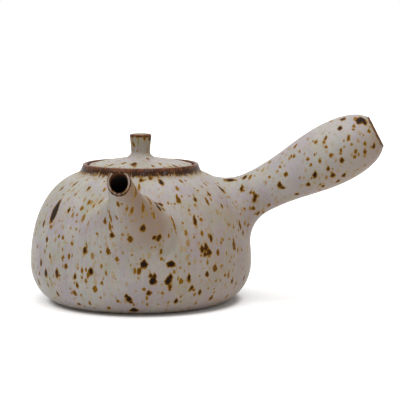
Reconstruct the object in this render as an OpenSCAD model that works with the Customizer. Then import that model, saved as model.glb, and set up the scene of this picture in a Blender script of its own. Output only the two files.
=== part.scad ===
// Side-handled teapot of thrown stoneware: a low round body with a collared mouth,
// a bell-rooted spout in front, a hollow club handle at a right angle to it, a pierced
// dome strainer behind the spout, and an inset lid with a locating ring and a knob.
// Millimetres. +Z is up, the handle points along +X and the spout along -Y.
// The origin is the centre of the foot, on the surface that the pot stands on.

/* [Body] */
// Greatest diameter of the body
body_d = 110; // [104:1:120]
// Height of the greatest diameter above the table
belly_z = 19; // [16:0.5:22]
// Diameter of the foot
foot_d = 82; // [74:1:88]
// How far the foot's edge runs out flat before it curls up
foot_curl = 4; // [1:0.5:6]
// How far the wall stays upright below the greatest diameter
belly_drop = 13; // [8:0.5:15]
// How far the wall stays upright above the greatest diameter
belly_rise = 26; // [22:1:30]
// How far the shoulder runs out from the collar in a straight line
shoulder_run = 14; // [10:0.5:18]
// Slope of the shoulder at the collar, in degrees
shoulder_slope = 14; // [8:1:20]
// Thickness of the wall
wall = 4; // [3:0.25:5]
// Thickness of the floor
floor_t = 5; // [4:0.25:7]
// Width of the ring that the foot stands on
foot_ring_w = 9; // [6:0.5:14]
// Depth of the trimmed recess inside that ring
foot_recess = 1.2; // [0.6:0.1:2]

/* [Collar and seat] */
// Height of the rim above the table
rim_z = 68.4; // [65:0.2:74]
// Outer diameter of the rim
rim_d = 57.8; // [54:0.2:62]
// Height of the collar above the shoulder
collar_h = 4.4; // [3:0.2:6]
// How much the collar spreads on each side, from the rim down to the shoulder
collar_spread = 1.3; // [0.6:0.1:2.4]
// Thickness of the lip
lip_t = 2; // [1.6:0.1:2.6]
// Depth of the lid's seat below the rim
seat_depth = 3.6; // [3:0.2:4.6]
// Width of the ledge that the lid rests on
ledge_w = 2.9; // [2:0.1:4]

/* [Spout] */
// Depth of the bell's upper edge below the shoulder
bell_drop = 5.7; // [4:0.1:7]
// Width of the bell's foot over the body's curve
bell_w = 47; // [42:1:52]
// Height of the bell's foot
bell_h = 31.8; // [30:0.2:35]
// How far the bell's edge swells off the body
bell_swell = 4.5; // [3.5:0.25:6]
// Part of that swell that the bell's lower edge lacks
bell_soften_ratio = 0.45; // [0:0.05:0.6]
// How far the bell's edge follows the body as it swells
bell_follow = 6; // [5:0.5:8]
// Distance of the tip beyond the body's greatest radius
spout_out = 15; // [13:0.5:19]
// Depth of the middle of the tip below the rim
tip_drop = 2.4; // [0:0.2:4]
// Sideways place of the tip, away from the handle
tip_aside = 2; // [0:0.5:3]
// Sideways lean of the tube, away from the handle, in degrees
tube_lean = 8.5; // [0:0.5:16]
// Upward slope of the tube, in degrees
tube_rise = 48; // [44:1:52]
// Length of the tube in front of the bell
tube_l = 19; // [17:0.5:21]
// Width of the tube where it leaves the bell
tube_w = 23; // [20:0.5:25]
// Height of the tube where it leaves the bell
tube_h = 19; // [17:0.5:21]
// Backward tilt of the tube's root, in degrees
tube_tilt = 25; // [20:1:30]
// Softness of the hollow between the bell and the tube
tube_blend = 5; // [3:0.5:6]
// Thickness of the bell and of the tube's root
spout_wall = 3; // [2.4:0.2:3.6]
// Backward tilt of the cut across the tip, in degrees
tip_tilt = 6; // [0:1:12]
// Width of the tip
tip_w = 11.6; // [10:0.1:13]
// Height of the tip
tip_h = 12.1; // [11:0.1:14]
// Thickness of the wall at the tip
tip_wall = 1.5; // [1:0.1:1.8]
// How many times wider than the tip the tube is halfway along
tip_taper_ratio = 1.24; // [1.1:0.02:1.34]
// Height of the hole in the body above the middle of the bell's foot
hole_rise = 4.6; // [3:0.2:5.6]
// Diameter of that hole
spout_hole_d = 13; // [11:0.5:14]

/* [Handle] */
// Depth of the root's upper edge below the shoulder
root_drop = 2.5; // [1.5:0.1:4]
// Width of the root over the body's curve
root_w = 36; // [32:1:42]
// Height of the root
root_h = 33.5; // [29:0.5:35]
// Distance of the neck beyond the body's greatest radius
neck_out = 4.3; // [3:0.1:7]
// Height of the neck above the middle of the root
neck_rise = 10.2; // [8:0.2:11]
// Diameter of the neck
neck_d = 21.8; // [20:0.2:24]
// Upward slope of the handle, in degrees
handle_slope = 27.5; // [24:0.5:32]
// Length of the grip, from the neck to the open end
grip_l = 64; // [56:0.5:76]
// Greatest diameter of the grip
grip_d = 30.8; // [27:0.2:33]
// Distance from the open end to the greatest diameter
swell_l = 22; // [18:0.5:28]
// How far the grip keeps the neck's diameter
neck_hold = 16.8; // [8:0.2:24]
// How far the swell stays full towards the neck
swell_back = 14.7; // [8:0.1:20]
// How far the swell stays full towards the open end
swell_front = 12; // [8:0.1:14]
// Outer diameter of the open end
end_d = 16.8; // [15:0.2:19]
// How far the grip runs straight from the open end
end_run = 5; // [3:0.1:6]
// How steeply it widens there, in degrees
end_turn = 53; // [40:1:65]
// Diameter of the hole in the open end
end_hole_d = 10; // [8:0.2:11]
// Thickness of the handle's wall
handle_wall = 3.8; // [3:0.1:4.4]
// How far the root's flare follows the body before it lifts
root_flare = 9; // [7:0.5:11]
// How far the flare follows the handle before the neck
neck_flare = 6.3; // [4:0.1:8]

/* [Strainer] */
// How far the dome reaches past the hole that it covers
dome_over = 8; // [6:0.5:9]
// Thickness of the dome
dome_t = 2.2; // [1.6:0.1:2.8]
// Diameter of the pierced holes
pierce_d = 2.2; // [1.6:0.1:2.4]
// Rings of pierced holes round the middle one
pierce_rings = 3; // [2:1:3]
// Holes in the first of those rings
pierce_first = 6; // [5:1:7]
// Angle between one ring of holes and the next, in degrees
pierce_step = 20; // [18:0.5:21]

/* [Lid] */
// Clearance between the lid and the collar round it
lid_clearance = 1.2; // [0.4:0.1:1.6]
// Thickness of the lid at its edge
lid_edge_t = 2.9; // [2.2:0.1:3.4]
// Rise of the lid's dome over its edge
lid_rise = 3.6; // [2.5:0.1:5]
// Depth of the hollow under the lid
lid_hollow = 2; // [1:0.1:2.6]
// Depth of the locating ring
ring_h = 7; // [5:0.5:9]
// Thickness of the locating ring
ring_t = 2.8; // [2:0.1:3.4]
// Clearance between the locating ring and the mouth
ring_clearance = 0.6; // [0.4:0.1:1]
// Diameter of the steam vent
vent_d = 3; // [2:0.1:3.6]
// Distance from the lid's axis to the vent
vent_offset = 14; // [12:0.5:16]

/* [Knob] */
// Diameter of the knob's spread foot
knob_foot_d = 17.5; // [15:0.5:20]
// How far the foot runs out along the lid
knob_spread = 1.2; // [0.6:0.1:2.8]
// Height of the knob above the lid
knob_h = 12; // [9.5:0.1:14]
// Height of the waist above the lid
waist_z = 3.4; // [2.8:0.2:5]
// Diameter of the waist
waist_d = 9.3; // [8:0.1:10.6]
// How far the stem stays upright on either side of the waist
waist_hold = 2; // [1:0.1:3]
// Diameter of the knob's top
knob_top_d = 10.7; // [9.6:0.1:14]
// Depth of the dish in the top
knob_dish = 1; // [0.6:0.1:1.4]

/* [Hidden] */
$fn = 120;

// Gap under a piece that is luted to the body, and the thickness of its feathered edge
lute_gap = 0.06;
feather_t = 0.25;
// Radius that softens small edges
edge_r = 0.7;
// Straight steps in each curve of a turned outline, and in each softened edge
curve_steps = 18;
round_steps = 5;
// Points round a lofted piece, and loops along each stretch of it
around = 40;
loft_steps = 14;
seat_steps = 5;
// Share of a footprint at which the way inward from its edge is taken
edge_ratio = 0.98;

spout_azimuth = -90;
handle_azimuth = 0;
glaze = "#b5a9a2";
bare_clay = "#7a5236";

body_r = body_d / 2;
foot_r = foot_d / 2;
rim_r = rim_d / 2;
collar_r = rim_r + collar_spread;
shoulder_z = rim_z - collar_h;
seat_z = rim_z - seat_depth;
gallery_r = rim_r - lip_t;
mouth_r = gallery_r - ledge_w;

function unit(v) = v / norm(v);
function mix(a, b, t) = a + (b - a) * t;
function spread(a, b, n) = [for (i = [0 : n]) mix(a, b, i / n)];
function steps(n) = spread(0, 1, n);

// A cubic curve, and its direction of travel
function bezier(p, t) = pow(1 - t, 3) * p[0] + 3 * t * pow(1 - t, 2) * p[1]
    + 3 * t * t * (1 - t) * p[2] + pow(t, 3) * p[3];
function bezier_way(p, t) = unit(pow(1 - t, 2) * (p[1] - p[0])
    + 2 * t * (1 - t) * (p[2] - p[1]) + t * t * (p[3] - p[2]));
function arc(centre, r, from, to) =
    [for (a = spread(from, to, round_steps)) centre + r * [cos(a), sin(a)]];

// The body's outline from the foot to the belly, and from the belly to the collar
low_curve = [[foot_r, 0], [foot_r + foot_curl, 0], [body_r, belly_z - belly_drop], [body_r, belly_z]];
shoulder_in = [collar_r, shoulder_z];
shoulder_out = shoulder_in + shoulder_run * [cos(shoulder_slope), -sin(shoulder_slope)];
high_curve = [[body_r, belly_z], [body_r, belly_z + belly_rise], shoulder_out, shoulder_in];

// A point inside the outline, a thickness square to it
function inside(curve, t, thick) = let (way = bezier_way(curve, t))
    bezier(curve, t) + thick * [-way.y, way.x];
outer_line = concat(
    [for (t = steps(curve_steps)) bezier(low_curve, t)],
    [for (t = steps(curve_steps)) if (t > 0) bezier(high_curve, t)]);
function inner_line(gap) = concat(
    [for (t = steps(curve_steps)) inside(low_curve, t, mix(floor_t, wall, t) + gap)],
    [for (t = steps(curve_steps)) if (t > 0) inside(high_curve, t, wall + gap)]);
ceiling_z = inside(high_curve, 1, wall).y;

// Where the upper outline reaches a height, found by halving, and the body's radius there
function curve_at(z, lo = 0, hi = 1, tries = 24) = let (mid = (lo + hi) / 2)
    tries == 0 ? mid
    : bezier(high_curve, mid).y < z ? curve_at(z, mid, hi, tries - 1)
    : curve_at(z, lo, mid, tries - 1);
function outer_r(z) = bezier(high_curve, curve_at(z)).x;

// A footprint on the body is an azimuth, a height, a half width along the curve and a half height.
// Its azimuth and height at a turn round it, and the point there, a little way off the body
function foot_azimuth(f, turn) = f[0] + f[2] * sin(turn) / outer_r(f[1]) * 180 / PI;
function foot_z(f, turn) = f[1] + f[3] * cos(turn);
function foot_point(f, turn, off) =
    let (a = foot_azimuth(f, turn), z = foot_z(f, turn), r = outer_r(z) + off) [r * cos(a), r * sin(a), z];

// The edge of a luted piece, its way inward over the body, and its way off the body
function edge_at(f, turn) = foot_point(f, turn, lute_gap + feather_t);
function edge_in(f, turn) = let (near = [f[0], f[1], f[2] * edge_ratio, f[3] * edge_ratio])
    unit(edge_at(near, turn) - edge_at(f, turn));
function edge_off(f, turn) =
    let (a = foot_azimuth(f, turn), way = bezier_way(high_curve, curve_at(foot_z(f, turn))))
    [way.y * cos(a), way.y * sin(a), -way.x];

// The face of a luted piece that lies on the body, from its bore out to its edge
turns = [for (j = [0 : around - 1]) 360 * j / around];
function seat_loops(bore, root) =
    [for (k = steps(seat_steps)) [for (a = turns) foot_point(mix(bore, root, k), a, lute_gap)]];

// A solid ring of closed loops, each joined to the next and the last to the first
module loft_ring(loops) {
    n = len(loops);
    m = len(loops[0]);
    polyhedron(
        points = [for (loop = loops) each loop],
        faces = [for (i = [0 : n - 1], j = [0 : m - 1])
            let (k = (i + 1) % n, l = (j + 1) % m)
            each [[i * m + j, i * m + l, k * m + l], [i * m + j, k * m + l, k * m + j]]]);
}

bell_z = shoulder_z - bell_drop - bell_h / 2;
spout_hole_z = bell_z + hole_rise;
bell_foot = [spout_azimuth, bell_z, bell_w / 2, bell_h / 2];
bore_foot = [spout_azimuth, spout_hole_z, spout_hole_d / 2 + spout_wall, spout_hole_d / 2 + edge_r];

// Foot, outer face, collar, lip, seat, mouth, inner face and recess, once round the section
module pot_body() color(glaze) difference() {
    rotate_extrude() polygon(concat(
        outer_line,
        arc([rim_r - edge_r, rim_z - edge_r], edge_r, 0, 90),
        arc([gallery_r + edge_r, rim_z - edge_r], edge_r, 90, 180),
        [[gallery_r, seat_z], [mouth_r, seat_z], [mouth_r, ceiling_z]],
        let (line = inner_line(0)) [for (i = [len(line) - 1 : -1 : 0]) if (line[i].x > mouth_r) line[i]],
        [[0, floor_t], [0, foot_recess]],
        [[foot_r - foot_ring_w - foot_recess, foot_recess], [foot_r - foot_ring_w, 0]]));
    translate([0, 0, spout_hole_z]) rotate([90, 0, 0]) cylinder(h = body_r, d = spout_hole_d);
}

// The space inside the body, a gap away from its wall
module tea_chamber(gap) rotate_extrude()
    polygon(concat([[0, floor_t + gap]], inner_line(gap), [[0, ceiling_z]]));

tip_centre = [-tip_aside, -body_r - spout_out, rim_z - tip_drop];
tube_way = [-sin(tube_lean), -cos(tube_lean) * cos(tube_rise), cos(tube_lean) * sin(tube_rise)];

// A point of a loop across the tube: how far behind the tip, half width, half height, backward tilt
function tube_point(turn, behind, half_w, half_h, tilt) = tip_centre - behind * tube_way
    + half_w * sin(turn) * [1, 0, 0] + half_h * cos(turn) * [0, sin(tilt), cos(tilt)];
function tip_point(turn, behind, thin, widen) =
    tube_point(turn, behind, (tip_w / 2 - thin) * widen, (tip_h / 2 - thin) * widen, tip_tilt);
function root_point(turn, thin) = tube_point(turn, tube_l, tube_w / 2 - thin, tube_h / 2 - thin, tube_tilt);
function root_way(turn) = unit(edge_in(bell_foot, turn) + tube_way);

// The bell from its edge to the tube, the tube to its tip, and the bore from the body to the tube
function bell_lift(turn) = bell_swell * (1 - bell_soften_ratio * pow((1 - cos(turn)) / 2, 2));
function bell_curve(turn) = let (edge = edge_at(bell_foot, turn), root = root_point(turn, 0)) [edge,
    edge + bell_follow * edge_in(bell_foot, turn) + bell_lift(turn) * edge_off(bell_foot, turn),
    root - tube_blend * root_way(turn), root];
function tube_curve(turn, root_thin, tip_thin) = let (root = root_point(turn, root_thin)) [root,
    root + tube_blend * root_way(turn),
    tip_point(turn, tube_l / 2, tip_thin, tip_taper_ratio), tip_point(turn, 0, tip_thin, 1)];
function bore_curve(turn) =
    let (hole = foot_point(bore_foot, turn, lute_gap), root = root_point(turn, spout_wall))
    [hole, mix(hole, root, 1 / 3), root - spout_wall * root_way(turn), root];

module spout() color(glaze) loft_ring(concat(
    [for (t = steps(loft_steps)) if (t < 1) [for (a = turns) bezier(bell_curve(a), t)]],
    [for (t = steps(loft_steps)) [for (a = turns) bezier(tube_curve(a, 0, 0), t)]],
    [[for (a = turns) tip_point(a, -tip_wall / 3, tip_wall / 2, 1)]],
    [for (t = steps(loft_steps)) if (t < 1)
        [for (a = turns) bezier(tube_curve(a, spout_wall, tip_wall), 1 - t)]],
    [for (t = steps(loft_steps)) if (t < 1) [for (a = turns) bezier(bore_curve(a), 1 - t)]],
    seat_loops(bore_foot, bell_foot)));

neck_r = neck_d / 2;
swell_r = grip_d / 2;
end_r = end_d / 2;
end_hole_r = end_hole_d / 2;
hollow_r = neck_r - handle_wall;
root_z = shoulder_z - root_drop - root_h / 2;
root_foot = [handle_azimuth, root_z, root_w / 2, root_h / 2];
hollow_foot = [handle_azimuth, root_z, hollow_r, hollow_r];
handle_way = [cos(handle_slope), 0, sin(handle_slope)];
handle_up = [-sin(handle_slope), 0, cos(handle_slope)];
neck_centre = [body_r + neck_out, 0, root_z + neck_rise];

// The grip's outline as distance past the neck and radius, and the wall's inner face
grip_back = [[0, neck_r], [neck_hold, neck_r],
    [grip_l - swell_l - swell_back, swell_r], [grip_l - swell_l, swell_r]];
grip_front = [[grip_l - swell_l, swell_r], [grip_l - swell_l + swell_front, swell_r],
    [grip_l, end_r] + end_run * [-cos(end_turn), sin(end_turn)], [grip_l, end_r]];
grip_line = concat([for (t = steps(loft_steps)) bezier(grip_back, t)],
    [for (t = steps(loft_steps)) if (t > 0) bezier(grip_front, t)]);
grip_hollow = [for (i = [len(grip_line) - 1 : -1 : 0]) let (p = grip_line[i])
    if (p.x < grip_l - handle_wall) [p.x, max(p.y - handle_wall, end_hole_r)]];

function grip_point(p, turn) =
    neck_centre + p.x * handle_way + p.y * (cos(turn) * handle_up + sin(turn) * [0, 1, 0]);
function grip_loop(p) = [for (a = turns) grip_point(p, a)];
function root_curve(turn) = let (edge = edge_at(root_foot, turn)) [edge,
    edge + root_flare * edge_in(root_foot, turn),
    grip_point([-neck_flare, neck_r], turn), grip_point([0, neck_r], turn)];

module side_handle() color(glaze) loft_ring(concat(
    [for (t = steps(loft_steps)) if (t < 1) [for (a = turns) bezier(root_curve(a), t)]],
    [for (p = grip_line) grip_loop(p)],
    [for (r = [end_r - edge_r, end_hole_r + edge_r]) grip_loop([grip_l + edge_r / 2, r])],
    [grip_loop([grip_l - edge_r / 2, end_hole_r])],
    [for (p = grip_hollow) grip_loop(p)],
    seat_loops(hollow_foot, root_foot)));

// The dome's centre lies on the wall's inner face, and it faces square off that wall
dome_r = spout_hole_d / 2 + dome_over;
dome_at = curve_at(spout_hole_z);
dome_foot = inside(high_curve, dome_at, wall);
dome_centre = [0, -dome_foot.x, dome_foot.y];
dome_tilt = asin(-bezier_way(high_curve, dome_at).x);
pierce_turns = concat([[0, 0]], [for (k = [1 : pierce_rings], i = [0 : pierce_first * k - 1])
    [pierce_step * k, 360 * i / (pierce_first * k)]]);

module strainer_dome() color(bare_clay) difference() {
    intersection() {
        tea_chamber(lute_gap);
        translate(dome_centre) difference() {
            sphere(r = dome_r);
            sphere(r = dome_r - dome_t);
        }
    }
    translate(dome_centre) rotate([-90 - dome_tilt, 0, 0])
        for (p = pierce_turns) rotate([0, p[0], p[1]]) translate([0, 0, dome_r - 2 * dome_t])
            cylinder(h = 3 * dome_t, d = pierce_d);
}

// The lid's dome is part of a ball, with a flat for the knob in its middle
lid_r = gallery_r - lid_clearance;
lid_ball_r = (lid_r * lid_r + lid_rise * lid_rise) / (2 * lid_rise);
function lid_top(r) = seat_z + lid_edge_t + lid_rise - lid_ball_r + sqrt(lid_ball_r * lid_ball_r - r * r);
lid_edge_turn = 90 - asin((lid_r - edge_r) / lid_ball_r);
ring_r = mouth_r - ring_clearance;
ring_in_r = ring_r - ring_t;
knob_foot_r = knob_foot_d / 2;
knob_z = lid_top(knob_foot_r);

module lid_disc() color(glaze) difference() {
    rotate_extrude() polygon(concat(
        [[0, knob_z]],
        [for (r = spread(knob_foot_r, lid_r - edge_r, curve_steps)) if (r < lid_r - edge_r) [r, lid_top(r)]],
        arc([lid_r - edge_r, lid_top(lid_r - edge_r) - edge_r], edge_r, lid_edge_turn, 0),
        [[lid_r, seat_z], [ring_in_r, seat_z]],
        [for (t = steps(curve_steps)) if (t > 0) [ring_in_r * (1 - t), seat_z + lid_hollow * sin(90 * t)]]));
    translate([0, vent_offset, seat_z]) cylinder(h = 2 * (lid_edge_t + lid_rise), d = vent_d, center = true);
}

module lid_ring() color(bare_clay) rotate_extrude() polygon(concat(
    [[ring_in_r, seat_z]],
    arc([ring_in_r + edge_r, seat_z - ring_h + edge_r], edge_r, 180, 270),
    arc([ring_r - edge_r, seat_z - ring_h + edge_r], edge_r, 270, 360),
    [[ring_r, seat_z]]));

// The knob's spread foot, and its stem from the waist to the top
waist_r = waist_d / 2;
knob_top_r = knob_top_d / 2;
knob_top_z = knob_z + knob_h;
waist = [waist_r, knob_z + waist_z];
knob_foot = [[knob_foot_r, knob_z], [knob_foot_r - knob_spread, knob_z], waist - [0, waist_hold], waist];
knob_stem = [waist, waist + [0, waist_hold],
    [knob_top_r, knob_top_z - 2 * edge_r], [knob_top_r, knob_top_z - edge_r]];

module lid_knob() color(glaze) rotate_extrude() polygon(concat(
    [[0, knob_z]],
    [for (t = steps(curve_steps)) bezier(knob_foot, t)],
    [for (t = steps(curve_steps)) if (t > 0 && t < 1) bezier(knob_stem, t)],
    arc([knob_top_r - edge_r, knob_top_z - edge_r], edge_r, 0, 90),
    [for (t = steps(curve_steps)) if (t > 0)
        [(knob_top_r - edge_r) * (1 - t), knob_top_z - knob_dish * sin(90 * t)]]));

pot_body();
spout();
side_handle();
strainer_dome();
lid_disc();
lid_ring();
lid_knob();
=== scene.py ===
"""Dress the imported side-handled teapot: thrown shapes, a speckled glaze and a plain studio."""
import logging
import math
from dataclasses import dataclass, field
from enum import Enum, IntEnum
from functools import partial
from typing import ClassVar, NamedTuple

import bmesh
import bpy
import numpy as np
from mathutils import Matrix, Vector
from mathutils.bvhtree import BVHTree


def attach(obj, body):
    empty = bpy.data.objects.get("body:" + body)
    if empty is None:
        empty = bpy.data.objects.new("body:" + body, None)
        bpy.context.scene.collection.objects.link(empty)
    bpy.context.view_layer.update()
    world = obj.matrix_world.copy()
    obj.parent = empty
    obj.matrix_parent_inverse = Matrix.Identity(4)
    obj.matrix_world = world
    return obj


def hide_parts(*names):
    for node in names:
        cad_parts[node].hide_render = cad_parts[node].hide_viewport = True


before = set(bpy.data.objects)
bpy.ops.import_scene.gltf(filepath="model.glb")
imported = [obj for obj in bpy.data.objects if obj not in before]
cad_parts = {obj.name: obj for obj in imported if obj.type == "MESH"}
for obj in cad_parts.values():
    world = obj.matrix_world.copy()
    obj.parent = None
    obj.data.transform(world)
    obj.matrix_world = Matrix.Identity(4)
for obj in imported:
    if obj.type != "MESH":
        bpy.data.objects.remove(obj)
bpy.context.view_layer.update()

LOG = logging.getLogger("teapot")
# Blender works in metres, and sizes below are in millimetres where nothing else is said
MM = 0.001
# The photograph's side in pixels
IMAGE_PX = 400
# Inputs of a colour mix that hold its two colours, and the setting that makes it one
MIX_A, MIX_B = 6, 7
COLOURS = {"data_type": "RGBA"}
# Setting of a range that eases in and out
SOFT = {"interpolation_type": "SMOOTHSTEP"}
# Middle value of a noise
NOISE_MEAN = 0.5
# Depth inside a spot's edge that stands for no spot near
FAR_OUT = -2.0
# Angle in degrees from which an edge is shaded sharp
SHARP_EDGE = 45
# Radius under which a ring is one point on the axis, and fall under which a surface is level
TINY = 1e-6
LEVEL = 1e-3

Array = np.ndarray
Node = bpy.types.Node
Socket = bpy.types.NodeSocket
Tree = bpy.types.NodeTree
Piece = bpy.types.Object
Material = bpy.types.Material
Colour = tuple[float, float, float, float]


class Finish(IntEnum):
    """Material slots of a fired piece, in the order that every mesh carries them."""

    GLAZE = 0
    IRON = 1
    BORE = 2


class Melt(Enum):
    """How dark a large spot melted: the greatest depth inside its edge that counts, in mm."""

    IRON = 9.0
    BROWN = 0.54
    AMBER = 0.36
    OCHRE = 0.22


class Band(NamedTuple):
    """Part of a field over which a share changes, and the share at its end and at its start."""

    start: float
    end: float
    most: float = 1.0
    least: float = 0.0

    def over(self, value: Node | Socket) -> dict[str, object]:
        """Inputs of a range node that turns a field into the share."""
        return {"Value": value, "From Min": self.start, "From Max": self.end,
                "To Min": self.least, "To Max": self.most}


class Noise(NamedTuple):
    """A cloudy pattern: the width of its clouds in mm, and how many finer layers break them up."""

    width: float
    detail: float

    def at(self, place: Node) -> dict[str, object]:
        """Inputs of a noise node at a place in mm."""
        return {"Vector": place, "Scale": 1 / self.width, "Detail": self.detail}


def hex_linear(code: str) -> Colour:
    """Turn an sRGB hex colour into linear RGBA, by the numbers of the sRGB standard.

    Args:
        code: Six hex digits after a hash sign.

    Returns:
        Linear red, green, blue and an alpha of one.
    """
    parts = [int(code[i : i + 2], 16) / 255 for i in (1, 3, 5)]
    linear = [c / 12.92 if c <= 0.04045 else ((c + 0.055) / 1.055) ** 2.4 for c in parts]
    return (linear[0], linear[1], linear[2], 1.0)


def add_node(tree: Tree, kind: str, inputs: dict | None = None, **settings: object) -> Node:
    """Add a shader node with its settings, values and links.

    Args:
        tree: The material's or world's node tree.
        kind: Blender's name for the node's type, without its leading ShaderNode.
        inputs: For each input's name or number, a value, an output socket to link, or a node whose first
            output in use is linked.
        settings: Attributes of the node.

    Returns:
        The new node.
    """
    node = tree.nodes.new("ShaderNode" + kind)
    for name, value in settings.items():
        setattr(node, name, value)
    for key, value in (inputs or {}).items():
        if isinstance(value, Node):
            value = next(out for out in value.outputs if out.enabled)
        if isinstance(value, Socket):
            tree.links.new(value, node.inputs[key])
        else:
            node.inputs[key].default_value = value
    return node


def new_material(name: str) -> tuple[Material, Tree]:
    """Make a material with an empty node tree.

    Args:
        name: The material's name.

    Returns:
        The material and its tree.
    """
    material = bpy.data.materials.new(name)
    material.use_nodes = True
    material.node_tree.nodes.clear()
    return material, material.node_tree


def new_object(name: str, data: bpy.types.ID) -> Piece:
    """Make an object and put it in the scene.

    Args:
        name: The object's name.
        data: Its mesh, camera or light.

    Returns:
        The new object, at the origin.
    """
    made = bpy.data.objects.new(name, data)
    bpy.context.scene.collection.objects.link(made)
    return made


def background_rays(tree: Tree) -> Node:
    """Tell rays that show the background from those that light the pot.

    Args:
        tree: The material's or world's node tree.

    Returns:
        A node that is 1 on the camera's rays, mirrored ones and those that pass through.
    """
    path = add_node(tree, "LightPath").outputs
    seen = add_node(tree, "Math", {0: path["Is Camera Ray"], 1: path["Is Glossy Ray"]}, operation="MAXIMUM")
    return add_node(tree, "Math", {0: seen, 1: path["Is Transmission Ray"]}, operation="MAXIMUM")


def unit(v: Array) -> Array:
    """Scale vectors on the last axis to length one."""
    return v / np.linalg.norm(v, axis=-1, keepdims=True)


def mix(a: Array, b: Array, t: float) -> Array:
    """Go a share t of the way from a to b."""
    return a + (b - a) * t


def bezier(p: list[Array], t: Array) -> Array:
    """Points of cubic curves.

    Args:
        p: Four control points, each one point or an array of points.
        t: Places along the curve, from 0 to 1.

    Returns:
        The points, with the places on the first axis.
    """
    s = 1 - t
    weights = np.stack([s**3, 3 * t * s**2, 3 * t**2 * s, t**3])
    return np.tensordot(weights, np.asarray(p), axes=(0, 0))


def bezier_way(p: list[Array], t: Array) -> Array:
    """Directions of travel along cubic curves.

    Args:
        p: Four control points, each one point or an array of points.
        t: Places along the curve, from 0 to 1.

    Returns:
        Unit ways, with the places on the first axis.
    """
    s = 1 - t
    weights = np.stack([s**2, 2 * s * t, t**2])
    return unit(np.tensordot(weights, np.diff(np.asarray(p), axis=0), axes=(0, 0)))


def steps(count: int) -> Array:
    """Even places from 0 to 1, both ends included."""
    return np.linspace(0, 1, count + 1)


def turns_round(count: int) -> Array:
    """Even turns round a full circle, in radians."""
    return np.linspace(0, 2 * math.pi, count, endpoint=False)


def line(a: tuple[float, float], b: tuple[float, float], count: int) -> Array:
    """Even points of a straight stretch of an outline, without its last point."""
    return mix(np.array(a), np.array(b), steps(count)[:-1, None])


def arc(centre: tuple[float, float], r: float, start: float, end: float, count: int) -> Array:
    """Points of a round stretch of an outline, with angles in degrees."""
    a = np.radians(np.linspace(start, end, count + 1))
    return np.array(centre) + r * np.column_stack([np.cos(a), np.sin(a)])


def turned(outline: Array, count: int) -> list[Array]:
    """Spin an outline of radius and height about Z.

    Args:
        outline: Radius and height of each point.
        count: Points in each ring.

    Returns:
        One ring of points for each point of the outline, or a single point on the axis.
    """
    a = turns_round(count)
    around = np.column_stack([np.cos(a), np.sin(a), np.zeros(count)])
    return [np.array([[0, 0, z]]) if r < TINY else r * around + (0, 0, z) for r, z in outline]


def hoop(r: float, z: float, count: int) -> Array:
    """Points round a circle about Z."""
    return turned(np.array([[r, z]]), count)[0]


def distance_to(points: Array, edge: Array) -> Array:
    """Distance from each point to the nearest point of an edge, both in mm."""
    return np.min([np.linalg.norm(points - p, axis=1) for p in edge], axis=0)


def downhill(normal: Array) -> Array:
    """Way that glaze runs on a surface with this normal."""
    fall = np.array([0, 0, -1]) + normal * normal[2]
    return unit(fall) if np.linalg.norm(fall) > LEVEL else np.array([1.0, 0, 0])


def surface_of(piece: Piece) -> tuple[Array, Array]:
    """Vertices and vertex normals of a piece.

    Args:
        piece: A mesh object at the origin.

    Returns:
        Points in mm and unit normals.
    """
    mesh = piece.data
    points = np.empty(len(mesh.vertices) * 3)
    mesh.vertices.foreach_get("co", points)
    normals = np.empty(len(mesh.vertices) * 3)
    mesh.vertex_normals.foreach_get("vector", normals)
    return points.reshape(-1, 3) / MM, normals.reshape(-1, 3)


def store(piece: Piece, name: str, values: Array) -> None:
    """Keep a number or a vector at each vertex for the glaze to read.

    Args:
        piece: A mesh object.
        name: Name that the glaze reads it by.
        values: One number or one vector for each vertex.
    """
    vector = values.ndim == 2
    layer = piece.data.attributes.new(name, "FLOAT_VECTOR" if vector else "FLOAT", "POINT")
    layer.data.foreach_set("vector" if vector else "value", values.ravel())


class HandWobble(NamedTuple):
    """How far a hand-thrown wall strays from true round: nowhere at foot and rim, most between them."""

    # Height of the wall, how far it is oval, and the oval's turn in radians
    height: float = 66
    oval: float = 0.22
    oval_turn: float = 0.7
    # How far it has three lobes, and the height over which they turn by one radian
    lobes: float = 0.13
    lobe_rise: float = 17

    def moved(self, points: Array) -> Array:
        """Move points off true round.

        Args:
            points: Points in mm.

        Returns:
            The moved points.
        """
        a = np.arctan2(points[:, 1], points[:, 0])
        full = np.sin(np.pi * np.clip(points[:, 2] / self.height, 0, 1))
        oval = self.oval * np.sin(2 * a + self.oval_turn)
        off = full * (oval + self.lobes * np.sin(3 * a + points[:, 2] / self.lobe_rise))
        return points + np.column_stack([off * np.cos(a), off * np.sin(a), np.zeros(len(a))])


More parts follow.
